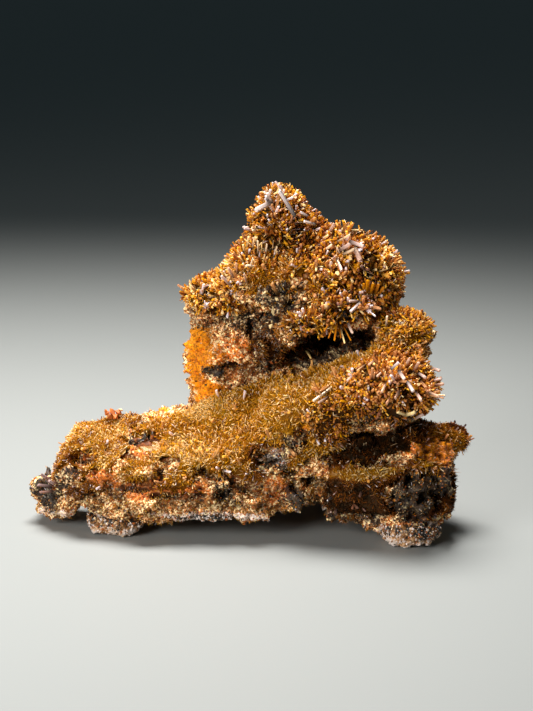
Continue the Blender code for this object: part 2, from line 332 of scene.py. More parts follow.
# Warmth of a crystal's colour: 0 black-brown, 0.25 red-brown, 0.45 orange, 0.62 amber, 0.8 gold, 1 straw.
WARMTH = {
    "summit_druse": (0.46, (
        (0.46, (20, 4, 66), (13, 10, 10)), (0.38, (9, 2, 72), (7, 7, 4)), (0.62, (7, -4, 61), (12, 7, 5)),
        (0.34, (6, -5, 49.5), (7, 6, 3.4)), (0.5, (14, -8, 53.5), (5, 6, 3)),
        (0.48, (16, -8, 52), (5, 6, 2.5)), (0.48, (23, -5, 50), (8, 8, 4.5)),
        (0.62, (-6, 2, 59), (8, 8, 6)), (0.62, (-14, 4, 53), (5, 8, 5)), (0.26, (-8, 2, 50), (6, 5, 1.8)),
        # The near-black balls at (11.5, 0.5, 70.3) and (27, -4, 61) sit in pits and are painted shade.
        (0.54, (6, 6, 80), (5, 6, 3.5)), (0.08, (11.5, 0.5, 70.3), (2.6, 3, 1.7)),
        (0.05, (27, -4, 61), (2.4, 4, 3.6)), (0.38, (29, -4, 57.5), (3.6, 4, 2.8)),
        (0.62, (33, 2, 63), (5, 8, 7)),
    )),
    "slope_druse": (0.6, (
        (0.64, (5, -11, 28), (22, 12, 10)), (0.86, (-15, 2, 28.5), (15, 8, 3)),
        (0.6, (-23, 5, 25.5), (5, 6, 3)), (0.74, (-20, -10, 20.5), (12, 9, 3.5)),
        (0.56, (-14, -16, 15.5), (17, 8, 2.2)), (0.42, (-20, -18, 12.8), (14, 6, 1.7)),
        (0.56, (0, -18, 14.5), (12, 6, 3)), (0.36, (4, -18, 16.5), (7, 5, 2.2)),
        (0.1, (3, -16, 20.3), (3, 4, 1.8)), (0.56, (36, -2, 50), (9, 10, 6)),
        (0.46, (33, -20, 40), (13, 10, 9)), (0.4, (20, -19, 29), (9, 7, 5)),
        (0.66, (12.2, -18.5, 28), (2.2, 4, 2.2)), (0.2, (30, -18, 31), (10, 8, 2.6)),
        # The 0.1 ball at (28, -14, 25) is painted shade in the hollow under the right lobe.
        (0.1, (28, -14, 25), (8, 7, 4.5)), (0.12, (4, -15.5, 20.5), (5, 4, 3)),
    )),
    "toe_druse": (0.58, (
        (0.6, (-38, 2, 23.5), (9, 9, 3)), (0.5, (-28, 6, 24.5), (4, 5, 3)),
        (0.42, (-45, -9, 13), (7, 8, 5.5)), (0.22, (-42, -13, 9), (9, 5, 3.5)),
        (0.36, (-34, -14, 14.2), (6, 5, 2.4)),
    )),
    "block_druse": (0.06, (
        (0.56, (45, -13, 21.5), (10, 12, 5)), (0.74, (27, -20, 18.2), (9, 6, 2.2)),
        (0.0, (38, -21, 12), (8, 6, 5)), (0.06, (21, -19, 11), (8, 6, 5)), (0.0, (28, -12, 23), (11, 9, 5)),
    )),
    "crevice_druse": (0.0, ()),
}

# The share of crystals that are pale lilac to white.
PALE = {
    "summit_druse": (0.12, (
        (0.42, (5, 5, 79), (6, 7, 4.5)), (0.45, (1.5, 2, 68), (5, 4, 2.2)),
        (0.4, (22, 2, 69.5), (5, 6, 3.2)), (0.3, (-10, 2, 58), (6, 6, 3)), (0.3, (19, -7, 56), (4, 4, 3)),
        (0.16, (7, -5, 56), (9, 6, 2)),
    )),
    "slope_druse": (0.04, (
        (0.05, (34, -21, 40), (11, 9, 7)), (1.0, (35.6, -22, 33), (2.4, 3, 0.9)),
        (0.2, (-20, -12, 19), (12, 9, 4)), (0.3, (-2, -17, 18), (7, 5, 2)),
    )),
    "toe_druse": (0.1, ()), "block_druse": (0.06, ((0.45, (28, -20, 18.4), (8, 6, 1.8)),)),
    "crevice_druse": (0.0, ()),
}

# How large the crystals have grown, 1 being a needle 0.25 mm thick.
GROWTH = {
    "summit_druse": (1.9, (
        (2.2, (7, 4, 75), (9, 10, 7)), (1.1, (6, -5, 59.5), (12, 7, 6)), (2.4, (24, 2, 66), (11, 10, 7)),
        (2.7, (29, -4, 57.5), (4, 4, 3)), (2.2, (23, -7, 52), (8, 8, 5)), (2.0, (-9, 2, 58), (8, 8, 5)),
    )),
    "slope_druse": (1.05, (
        (2.2, (33, -20, 40), (13, 10, 9)), (1.4, (36, -2, 50), (9, 10, 6)),
        (0.8, (-12, 2, 29.5), (17, 8, 3.5)), (1.4, (20, -19, 30), (9, 7, 5)),
    )),
    "toe_druse": (0.95, ()), "block_druse": (1.05, ((1.0, (46, -10, 22), (8, 12, 6)),)),
    "crevice_druse": (1.0, ()),
}

# How much of a crust's thickness is matted ground under the free needles.
GROUND = {
    "summit_druse": (0.18, ()), "slope_druse": (0.5, ((0.2, (33, -20, 40), (13, 10, 9)),)),
    "toe_druse": (0.65, ()), "block_druse": (0.5, ()), "crevice_druse": (0.2, ()),
}

# How long the needles are, as a share of the room between the ground and the solid's skin.
REACH = {
    "summit_druse": (1.3, ((0.8, (7, -4, 57), (12, 7, 5)),)),
    "slope_druse": (0.95, (
        (0.6, (-12, 0, 27), (22, 16, 8)), (0.85, (5, -11, 28), (22, 12, 10)),
        (1.3, (33, -20, 40), (13, 10, 9)), (0.6, (-10, -17, 14), (30, 6, 2.6)),
    )),
    "toe_druse": (0.55, ()),
    "block_druse": (0.7, ((0.4, (38, -21, 12), (8, 7, 6)), (0.55, (28, -18, 20), (9, 8, 5)))),
    "crevice_druse": (0.7, ()),
}

# How much the warmth changes from one small patch of a crust to the next.
MOTTLE = {
    "summit_druse": 0.1, "slope_druse": 0.06, "toe_druse": 0.34, "block_druse": 0.2, "crevice_druse": 0.0,
}

# Counts of fine spikes, pale slivers and stouter prisms on each crust; the slivers are partly painted
# glints.
NEEDLES = {
    "summit_druse": (9500, 2400, 4500), "slope_druse": (19000, 3800, 2250), "toe_druse": (9000, 1100, 60),
    "block_druse": (11500, 600, 60), "crevice_druse": (2400, 30, 0),
}

# The three kinds, in that order: sides, taper, thickness as a share of the needle width, length past the
# crust's skin in mm, tilt, and added odds of being pale. That paleness is partly real pale crystals and
# partly painted glints.
KINDS = ((3, 0, 0.66, 0.0, 0.48, 0.0), (4, 0.75, 0.44, 0.35, 0.8, 0.52), (6, 0.78, 0.46, 0.6, 0.75, 0.0))

# Deep pits and cracks: depth in mm, centre, half sizes.
# Their rock is darkened with painted shade, the deeper pits more.
PITS = (
    (2.2, (11.8, 1.2, 71.2), (2.6, 3, 1.3)), (2.4, (27.2, -4, 62.4), (1.6, 3, 2.8)),
    (2.0, (21, -8.8, 54), (2.6, 3, 0.9)), (2.0, (24.5, -7.5, 52.4), (2.5, 3, 1.1)),
    (2.4, (-26.5, -4, 22.4), (3.8, 3.5, 1.3)), (2.2, (-20, -18, 11.9), (4.6, 3, 0.8)),
    (1.6, (-29, -15.5, 12.8), (4, 3, 0.6)), (2.4, (12.6, -18, 23.9), (1.4, 3, 1.4)),
    (2.2, (8.3, -15, 16.7), (2.0, 3, 1.4)), (0.4, (-6.8, -17.3, 12.8), (2.6, 3, 1.4)),
    (2.0, (-0.8, 3.0, 48), (1.0, 3, 2.6)), (2.0, (-10.5, 3.6, 52.2), (2.6, 3, 1.0)),
    (2.0, (-14.4, 5, 51.6), (1.2, 3, 1.0)), (2.0, (5.5, 3, 44), (3.2, 4, 1.4)),
    (1.6, (8.6, -5, 54.4), (1.6, 3, 1.0)), (1.6, (-5, 3, 38.6), (2.5, 3, 0.9)),
    (2.4, (24.7, -19, 21.2), (4.6, 4, 1.5)), (2.0, (36.5, -20, 15.2), (1.1, 4, 2.2)),
    (1.8, (42.5, -19, 11), (1.2, 4, 2)), (1.6, (-43, -10.5, 15.4), (1.4, 3, 1.2)),
    (1.6, (14, 26, 50), (5, 4, 1.6)), (1.8, (-10, 22, 20), (6, 4, 1.5)), (1.8, (28, 22, 22), (4, 4, 2.4)),
)

# Where a crust has broken away and the rock shows, and where it is patchy.
BALD = (
    (1.0, (4, -1, 53.6), (5, 6, 4)), (1.0, (10.5, -6.5, 56.4), (4.6, 5, 2.3)),
    (0.8, (-2, 2, 55.5), (4, 5, 2)), (1.0, (3.5, -15.6, 19.6), (4.2, 4, 2.8)),
    (1.0, (8.5, -16.8, 24), (3.6, 4, 2.6)), (1.0, (12.4, -18.4, 28), (1.7, 3, 2.4)),
    (0.9, (-25.5, -6.8, 21), (3.4, 2.4, 1.6)), (0.85, (-27, -3.4, 22.8), (4.6, 2.4, 1.2)),
    (0.9, (-41.2, -8, 18.8), (3.4, 3.4, 2)), (1.0, (-45, -10, 14.5), (3, 4, 3.2)),
    (1.0, (-36.4, -13, 15.4), (3.6, 3, 2)), (1.0, (-18, -17.6, 13.2), (6.5, 3, 1.5)),
    (1.0, (39, -20.3, 12.6), (6.6, 6, 6)), (1.0, (45.6, -18, 15.4), (2.4, 5, 3)),
    (0.42, (7, -5, 58.6), (9, 5, 3.4)), (0.44, (44, -14, 22.4), (9, 9, 3.6)),
    (0.34, (48, -8, 18), (6, 9, 6)), (0.9, (42, -17, 22.4), (3, 4, 1.6)), (0.7, (8, -15, 15), (5, 4, 2)),
)
PATCHY = (
    (1.0, (7, -4, 61), (12, 7, 5)), (0.9, (-42, -9, 13), (11, 11, 8)), (0.9, (40, -12, 17), (16, 14, 11)),
    (0.7, (-8, -17, 15), (22, 6, 3.5)), (0.8, (0, 20, 30), (45, 12, 40)),
)

# Stouter crystals that stand a little over each crust.
STOUT_COUNT = {
    "summit_druse": 420, "slope_druse": 330, "toe_druse": 16, "block_druse": 30, "crevice_druse": 12,
}

# How much thinner the prisms of a solid are on the thin crusts, and how far they are sunk, in mm.
SHRINK = {"toe_druse": 0.6, "block_druse": 0.6}
SUNK = {"toe_druse": 1.0, "block_druse": 1.0}

# Rock colours: the share of each over its ball.
OCHRE = (
    (1.0, (-13.8, 6, 43), (5.0, 7, 5)), (0.45, (-8.5, 4, 42), (2.4, 5, 3)),
    (1.0, (-11.5, 4, 32), (4.2, 6, 3.6)), (0.9, (-14.5, 6, 37), (2.2, 5, 4)),
    (0.3, (-5, 3, 43.7), (2.2, 4, 2)), (0.25, (-1.5, 3, 40), (1.6, 4, 1.4)),
    (0.6, (-24, 8, 25.5), (4, 6, 2)), (1.0, (12.4, -18, 28), (2.0, 3, 2.6)),
    (0.6, (43, -15, 22.6), (6, 7, 3.4)), (0.55, (47, -11, 22.6), (4, 6, 3)),
    (0.4, (-41, -8, 18.5), (2.4, 3, 1.6)), (0.7, (12, 24, 30), (8, 5, 6)), (0.5, (-33, 9, 24.5), (3, 4, 2)),
)
# Manganese black. The balls on the pits, such as at (11.8, 1.2, 71.2), (27.2, -4, 62) and (-26, -4, 22), are
# painted shade.
MANGANESE = (
    (1.0, (11.8, 1.2, 71.2), (4, 4, 2.4)), (1.0, (27.2, -4, 62), (3, 4, 4)),
    (1.0, (23, -8, 53), (6, 5, 2.4)), (1.0, (-9.6, 3.6, 37.2), (2.8, 4, 1.6)),
    (0.8, (8, 9, 42.2), (6, 8, 2.4)), (0.7, (3, 3, 47), (6, 6, 4)), (0.8, (10, 8, 44), (7, 8, 5)),
    (0.6, (-3, 3, 50), (5, 5, 2.5)), (0.65, (8, -6, 54.6), (8, 6, 3)), (0.7, (4, -2, 58), (5, 5, 3)),
    (0.75, (4, 4, 41), (4, 6, 4.5)), (0.85, (4, -15.5, 20), (5, 4, 2.6)), (0.7, (8, -16.5, 24), (4, 4, 3)),
    (1.0, (-26, -4, 22), (5, 7, 2)), (0.6, (-46, -9, 14), (4, 6, 4)), (0.95, (-50, -4, 10), (5, 6, 5)),
    (0.9, (9, -15, 11), (2.3, 5, 2)), (0.7, (-6.8, -17.3, 12.4), (3.2, 4, 2)),
    (0.86, (39, -20, 12), (6.5, 6, 6)), (0.8, (33.5, -20, 12), (3, 4, 4)),
    (0.8, (45.6, -18, 15.4), (3, 5, 4)), (0.8, (22, -16, 9), (9, 8, 5)), (0.7, (33, 14, 30), (9, 9, 7)),
    (0.6, (-8, 22, 12), (9, 6, 5)), (0.8, (18, 4, 44), (12, 14, 6)),
)
RUST = (
    (0.6, (-5, 3, 42), (5, 6, 4.5)), (0.4, (1, 4, 37.5), (7, 6, 4)), (0.9, (-33, 9, 24.5), (4, 4, 3)),
    (1.0, (-23, -16.5, 13.2), (14, 6, 1.9)), (0.9, (-37, -12.5, 15.6), (4.5, 5, 3)),
    (0.9, (-41.5, -8, 18.6), (4, 4, 2.4)), (0.9, (-25.5, -6.8, 20.8), (4.5, 4, 1.8)),
    (0.7, (5, -16, 12), (5, 6, 3)), (1.0, (45, -13, 21.5), (9, 11, 5)), (0.7, (28, -20, 17), (7, 4, 2)),
    (0.6, (40, -20, 5), (8, 5, 3)), (0.7, (14, 27, 44), (10, 5, 9)), (0.6, (-22, 20, 10), (9, 8, 5)),
    (0.6, (40, 10, 12), (8, 9, 6)),
)

CALCITE_DUST = (
    (0.8, (-9, -16, 6.2), (15, 5, 1.1)), (0.8, (-40, -11, 3.4), (9, 6, 1.5)),
    (0.6, (-49, -6, 3.6), (6, 7, 1.2)), (0.8, (-32, -13, 2.0), (6, 6, 2)),
    (0.7, (38, -19, 3.4), (10, 7, 2.0)), (0.5, (14, -14, 7.4), (5, 5, 1.1)),
    (0.34, (5.5, -16, 21.4), (4.5, 4, 3.4)),
)

# Where bare rock carries a fur of fine needles in place of crumbs, and how warm the fur is.
FURRY = (
    (1.0, (-26, -14, 17.4), (5.5, 5, 2.6)), (1.0, (4.5, 5, 43), (7, 7, 3)), (1.0, (12, 10, 41), (6, 8, 3)),
    (0.8, (5, 0, 47.5), (5, 6, 2.4)), (0.9, (22, -17, 10), (8, 6, 5)),
)

FUR_WARMTH = ((0.68, (-26, -14, 17.4), (8, 7, 4)),)

# Base share, balls and noise of each rock colour.
ROCK_PAINT = {
    "ochre": (0, OCHRE, 51), "manganese": (0.12, MANGANESE, 52), "rust": (0.2, RUST, 53),
    "dust": (0, CALCITE_DUST, 54), "fur": (0, FURRY, 55),
}

# Lumps of the orange knob on the toe: x, y, z, half width, and sort as in the chips.
KNOB = (
    (-36.3, 6.8, 25.6, 1.2, 0.4), (-34.9, 6.6, 26.0, 1.5, 0.42), (-33.5, 6.8, 25.7, 1.3, 0.38),
    (-35.6, 6.2, 24.9, 1.5, 0.3), (-34.2, 6.0, 24.9, 1.5, 0.45), (-32.9, 7.0, 26.3, 0.8, 0.8),
    (-36.6, 6.6, 26.3, 0.6, 0.5),
)

# The way in to the chips' faces, from the front and a little above, and how far they stand out, in mm.
FRONT = Vector((0.0, 0.974, -0.225))
CHIP_OUT = 0.8

# Larger chips set in the rock: x, y, z, half width, and sort, from 0 black to 1 cream.
CHIPS = (
    (4.7, -1.2, 52.7, 0.9, 1.0), (4.3, 2.0, 48.6, 1.0, 1.0), (11.1, -7.5, 51.8, 1.1, 1.0),
    (10.8, -6.8, 56.3, 0.7, 1.0), (5.7, -3.8, 56.3, 0.6, 1.0), (8.3, -4.8, 56.8, 0.9, 1.0),
    (10.6, -5.2, 54.9, 0.6, 0.95), (5.2, -0.6, 50.9, 1.7, 0.0), (4.5, 1.8, 49.8, 0.5, 1.0),
    (7.6, -4.1, 60.0, 1.2, 0.0), (2.8, -15.0, 20.0, 1.1, 0.08), (-0.8, 0.4, 55.0, 0.8, 0.9),
)

# The least share of each calcite skin's grains that are clean calcite.
CLEAN = {"left_foot_calcite": 0.18, "right_foot_calcite": 0.28, "sole_calcite": 0.62}

# How far the lone crystals stand out of the needles, in mm.
LIFT = np.array([0, -0.75, 0.2])

# Crystals that stand out on their own: tip x, y, z, root x, y, z, thickness, paleness, warmth.
LONE_CRYSTALS = (
    (-51.6, -4.2, 13.2, -48.4, -3.4, 10.8, 0.8, 0.35, 0.12),
    (-50.4, -5.6, 12.9, -48.2, -4.2, 9.6, 0.75, 0.2, 0.1),
    (-52.4, -4.6, 10.6, -49.4, -3.2, 9.8, 0.8, 0.4, 0.15),
    (-49.4, -6.2, 12.2, -47.2, -4.2, 9.8, 0.7, 0.5, 0.2),
    (-48.0, -7.4, 12.4, -46.4, -5.2, 10.4, 0.65, 0.2, 0.1),
    (-51.8, -5.6, 9.0, -48.8, -4.2, 8.8, 0.7, 0.3, 0.2),
    (6.1, -0.5, 81.8, 9.7, 2.0, 75.6, 0.96, 0.95, 0.70),
    (0.5, -0.2, 76.9, 3.9, 2.6, 78.3, 1.25, 0.90, 0.70), (6.1, 1.7, 77.7, 4.9, 3.6, 74.7, 0.67, 0.95, 0.70),
    (11.3, 2.8, 76.1, 13.0, 4.7, 74.9, 0.67, 0.95, 0.70),
    (12.0, 1.7, 74.1, 14.5, 3.8, 73.1, 0.82, 0.90, 0.70),
    (9.4, 3.5, 79.5, 8.0, 5.4, 78.6, 0.67, 0.90, 0.70), (4.2, 0.3, 81.9, 3.5, 2.2, 79.4, 0.72, 0.85, 0.70),
    (3.3, 1.0, 81.0, 4.4, 2.9, 78.6, 0.72, 0.80, 0.70), (7.4, 3.6, 81.4, 6.9, 5.5, 79.2, 0.62, 0.80, 0.70),
    (1.1, 0.3, 69.7, 1.2, 2.1, 66.5, 0.53, 0.95, 0.80), (3.3, -0.2, 69.0, 2.9, 1.6, 65.9, 0.48, 0.95, 0.80),
    (-1.1, 1.9, 70.4, -1.5, 3.7, 67.4, 0.53, 0.80, 0.90),
    (-2.4, 1.3, 68.6, -2.1, 3.0, 66.4, 0.58, 0.80, 0.90),
    (0.3, 1.4, 70.3, -0.1, 3.2, 67.5, 0.48, 0.80, 0.80), (2.0, 0.2, 69.2, 2.1, 1.9, 66.7, 0.43, 0.60, 0.90),
    (-0.0, -1.8, 65.9, -0.8, -0.1, 63.2, 0.48, 0.90, 0.80),
    (-1.7, -2.2, 64.1, 1.0, -0.0, 63.5, 0.62, 0.95, 0.80),
    (5.7, -0.7, 68.4, 5.0, 1.1, 65.9, 0.48, 0.80, 0.80),
    (-2.1, -4.4, 62.5, -1.5, -1.1, 59.5, 0.48, 0.50, 0.60),
    (-7.7, 1.0, 61.1, -5.6, 2.9, 58.6, 0.77, 0.70, 0.50),
    (-5.9, -3.3, 63.8, -4.8, -1.5, 61.3, 0.72, 0.50, 0.50),
    (-4.0, -0.8, 64.5, -3.8, 1.0, 61.8, 0.62, 0.40, 0.50),
    (18.8, -0.1, 68.8, 16.8, 1.9, 66.8, 0.72, 0.95, 0.80),
    (23.7, -3.7, 68.2, 21.5, 0.1, 66.4, 0.77, 0.95, 0.80),
    (22.8, -2.3, 71.4, 20.1, 2.4, 69.0, 0.58, 0.80, 0.80),
    (23.1, -3.5, 69.6, 21.0, 0.7, 67.4, 1.06, 0.75, 0.50),
    (19.4, 3.4, 73.3, 18.0, 5.4, 70.5, 0.82, 0.55, 0.50),
    (17.9, 2.1, 70.7, 16.1, 4.1, 69.2, 0.58, 0.80, 0.90),
    (26.0, -6.6, 69.3, 23.1, -3.9, 70.0, 0.91, 0.65, 0.40),
    (25.2, -6.1, 65.7, 24.2, -3.2, 68.1, 1.15, 0.50, 0.40),
    (21.0, -4.2, 63.1, 20.0, -1.4, 65.2, 0.82, 0.55, 0.40),
    (23.6, 2.2, 73.3, 22.9, 4.0, 71.0, 0.72, 0.10, 0.42),
    (22.0, -2.8, 74.3, 21.3, -1.0, 72.0, 0.67, 0.15, 0.45),
    (27.6, 0.4, 70.3, 26.0, 2.4, 69.3, 0.62, 0.10, 0.60),
    (27.1, -5.3, 61.3, 26.9, -3.5, 57.9, 1.06, 0.00, 0.50),
    (28.4, -5.8, 60.6, 27.9, -3.6, 57.7, 0.91, 0.00, 0.50),
    (29.7, -5.0, 60.2, 28.9, -3.2, 57.5, 0.91, 0.05, 0.46),
    (30.9, -4.6, 59.4, 29.8, -2.8, 57.3, 0.82, 0.05, 0.46),
    (26.1, -5.0, 60.4, 26.3, -3.3, 58.0, 0.72, 0.00, 0.50),
    (22.8, -9.2, 54.3, 25.1, -6.1, 55.7, 0.91, 0.95, 0.70),
    (22.5, -7.7, 56.6, 24.6, -5.7, 56.2, 0.67, 0.85, 0.70),
    (25.7, -5.5, 57.3, 28.3, -3.4, 56.9, 0.86, 0.45, 0.45),
    (29.0, -6.3, 55.3, 27.7, -3.9, 56.2, 0.91, 0.25, 0.45),
    (31.0, -5.1, 55.9, 29.5, -2.9, 56.2, 0.77, 0.10, 0.50),
    (29.9, -2.7, 50.6, 30.4, 0.8, 52.3, 0.82, 0.05, 0.50),
    (27.3, -4.6, 50.4, 27.6, -2.0, 52.4, 0.72, 0.05, 0.50),
    (19.0, -12.3, 48.0, 19.8, -8.6, 51.8, 0.5, 0.0, 0.36),
    (21.5, -11.0, 47.1, 20.4, -7.3, 50.8, 0.42, 0.7, 0.9),
    (23.4, -9.2, 49.1, 22.5, -6.5, 51.0, 0.67, 0.70, 0.70),
    (20.6, -10.6, 48.3, 20.2, -7.7, 51.1, 0.4, 0.0, 0.32),
    (17.6, -12.2, 48.6, 19.2, -9.0, 51.9, 0.36, 0.0, 0.34),
    (23.0, -10.4, 47.6, 21.0, -7.2, 51.0, 0.36, 0.0, 0.4),
    (16.6, -12.0, 50.2, 18.3, -9.1, 52.2, 0.4, 0.0, 0.36),
    (31.5, -8.2, 53.1, 31.5, -6.5, 50.8, 0.58, 0.95, 0.80),
    (14.2, 7.3, 39.2, 13.1, 9.8, 40.5, 0.53, 0.50, 0.90),
    (13.9, -18.8, 35.2, 18.2, -15.3, 37.5, 0.67, 0.95, 0.80),
    (15.1, -18.7, 34.8, 17.3, -16.3, 35.6, 0.53, 0.70, 0.60),
    (37.2, -22.3, 33.5, 35.3, -20.2, 32.3, 0.86, 0.95, 0.90),
    (33.2, -22.2, 33.6, 35.5, -20.1, 32.3, 0.86, 0.95, 0.90),
    (39.4, -20.1, 32.4, 37.3, -17.9, 30.8, 0.72, 0.70, 0.50),
    (43.8, -12.9, 41.0, 41.9, -10.4, 41.1, 0.77, 0.60, 0.50),
    (44.1, -18.6, 39.3, 42.1, -16.3, 38.4, 0.77, 0.45, 0.45),
    (42.4, -25.3, 38.0, 40.6, -22.8, 38.2, 0.72, 0.50, 0.50),
    (43.6, -17.8, 40.4, 41.7, -15.7, 39.3, 0.67, 0.70, 0.50),
    (33.1, -24.8, 45.9, 31.8, -23.0, 44.1, 0.72, 0.80, 0.60),
    (36.3, -17.5, 45.2, 35.3, -15.8, 42.9, 0.67, 0.60, 0.60),
    (38.3, -17.8, 44.3, 37.4, -16.1, 41.8, 0.77, 0.50, 0.50),
    (34.3, -27.3, 42.4, 33.3, -24.7, 43.6, 0.86, 0.75, 0.50),
    (31.5, -21.4, 40.0, 31.2, -18.1, 42.0, 0.82, 0.70, 0.50),
    (36.4, -26.5, 39.4, 35.4, -23.8, 40.8, 0.82, 0.75, 0.50),
    (38.6, -22.7, 36.3, 37.6, -19.9, 37.7, 0.77, 0.60, 0.50),
    (29.4, -23.2, 38.4, 30.7, -20.0, 39.9, 0.72, 0.50, 0.50),
    (28.5, -20.0, 41.4, 30.2, -17.8, 42.2, 0.67, 0.60, 0.60),
    (26.8, -15.8, 43.1, 28.5, -13.6, 43.8, 0.62, 0.50, 0.60),
    (39.9, -18.6, 40.7, 38.6, -16.3, 41.1, 0.77, 0.70, 0.50),
    (24.1, -16.3, 41.8, 25.9, -14.0, 42.5, 0.62, 0.40, 0.60),
    (32.5, -23.6, 37.1, 33.7, -21.1, 38.5, 0.77, 0.40, 0.45),
    (30.5, -23.7, 35.8, 31.8, -21.2, 37.1, 0.72, 0.30, 0.42),
    (39.9, -20.5, 38.7, 38.9, -18.0, 39.6, 0.77, 0.30, 0.45),
    (21.8, -17.3, 39.7, 23.3, -15.0, 40.4, 0.62, 0.60, 0.60),
    (19.7, -7.7, 39.4, 21.3, -3.7, 40.0, 0.58, 0.50, 0.60),
)


# ---------------------------------------------------------------- sizes and colours that a user would change


def colour(name, description, code):
    """A colour setting with an sRGB default."""
    return bpy.props.FloatVectorProperty(
        name=name, description=description, subtype="COLOR", size=3, min=0, max=1, default=linear(code),
    )


class SpecimenColours(bpy.types.PropertyGroup):
    """Colours of the rock, the crystals and the calcite"""

    rock_brown: colour("Gossan brown", "Body colour of the weathered iron-oxide rock", "#9C6A36")
    rock_dark: colour("Manganese black", "Manganese-oxide stains on the rock", "#1E1914")
    rock_rust: colour("Rust", "Hematite-red patches on the rock", "#C6641C")
    rock_ochre: colour("Ochre", "Powdery yellow-orange limonite patches", "#D07C00")
    rock_tan: colour("Tan", "Pale micro-crystals dusted over the rock", "#F0CC9A")
    crystal_black: colour("Crystal, black-brown", "Darkest vanadinite", "#22150A")
    crystal_red: colour("Crystal, red-brown", "Dark red-brown vanadinite", "#8A460A")
    crystal_orange: colour("Crystal, orange-brown", "Orange-brown vanadinite", "#BA720C")
    crystal_amber: colour("Crystal, amber", "Amber vanadinite of the slope", "#C88400")
    crystal_gold: colour("Crystal, gold", "Gold vanadinite of the ledges", "#F0B028")
    crystal_straw: colour("Crystal, straw", "Palest needle tips", "#FFE0A0")
    crystal_lilac: colour("Crystal, lilac white", "Pale overgrown prisms", "#F0E6EA")
    # Cream colours the pale needles, which are partly real pale crystals and partly painted glints.
    crystal_cream: colour("Crystal, cream white", "Pale needles among the amber ones", "#FADA9E")
    calcite: colour("Calcite", "Sugary calcite at the foot", "#F0DED2")


class SpecimenSizes(bpy.types.PropertyGroup):
    """Sizes of the needles and the crags"""

    needle_width: bpy.props.FloatProperty(
        name="Needle width", description="Thickness of a common needle", default=0.26 * MM, min=0.1 * MM,
        max=1.0 * MM, subtype="DISTANCE", unit="LENGTH", precision=6,
    )
    needle_lean: bpy.props.FloatProperty(
        name="Needle lean",
        description="How far needles lean out from the middle of their tuft, as a share of their length",
        default=0.55, min=0.0, max=2.0,
    )
    tuft_spacing: bpy.props.FloatProperty(
        name="Tuft spacing", description="Distance between the middles of neighbouring tufts",
        default=2.6 * MM, min=0.5 * MM, max=10 * MM, subtype="DISTANCE", unit="LENGTH", precision=6,
    )
    crag_height: bpy.props.FloatProperty(
        name="Crag height", description="Height of the crags over the bare rock", default=1.6 * MM, min=0.0,
        max=3 * MM, subtype="DISTANCE", unit="LENGTH", precision=6,
    )


# ---------------------------------------------------------------- materials

# Pattern scales in lumps a metre, which is 1000 over the real size in mm.
ROCK_PATCH = 330.0  # 3 mm stains
ROCK_GRAIN = 1400.0  # 0.7 mm grains
ROCK_GRIT = 2100.0  # 0.5 mm grit, drawn coarser than the real dust so that it shows
CRUMB_CLOUD = 1600.0  # 0.6 mm clouds in a crumb
SUGAR_GRAIN = 1500.0  # 0.7 mm calcite grains
SUGAR_STAIN = 420.0  # 2.4 mm stains
NEEDLE_CLOUD = 700.0  # 1.4 mm clouds along the needles
PRISM_CLOUD = 900.0  # 1.1 mm clouds in the prisms


def add(tree, kind, inputs=None, stops=None, **settings):
    """Adds a shader node with its settings, inputs or links, and colour stops."""
    made = tree.nodes.new(kind)
    for name, value in settings.items():
        setattr(made, name, value)
    for key, value in (inputs or {}).items():
        if isinstance(value, bpy.types.NodeSocket):
            tree.links.new(value, made.inputs[key])
        else:
            made.inputs[key].default_value = value
    if stops:
        elements = made.color_ramp.elements
        while len(elements) < len(stops):
            elements.new(0.5)
        for element, (place, shade) in zip(elements, stops):
            element.position = place
            element.color = (*shade, 1)
    return made


def new_material(name):
    """An empty node material with its Principled shader, and its tree."""
    material = bpy.data.materials.new(name)
    material.use_nodes = True
    tree = material.node_tree
    tree.nodes.clear()
    shader = add(tree, "ShaderNodeBsdfPrincipled")
    add(tree, "ShaderNodeOutputMaterial", {"Surface": shader.outputs[0]})
    return material, tree, shader


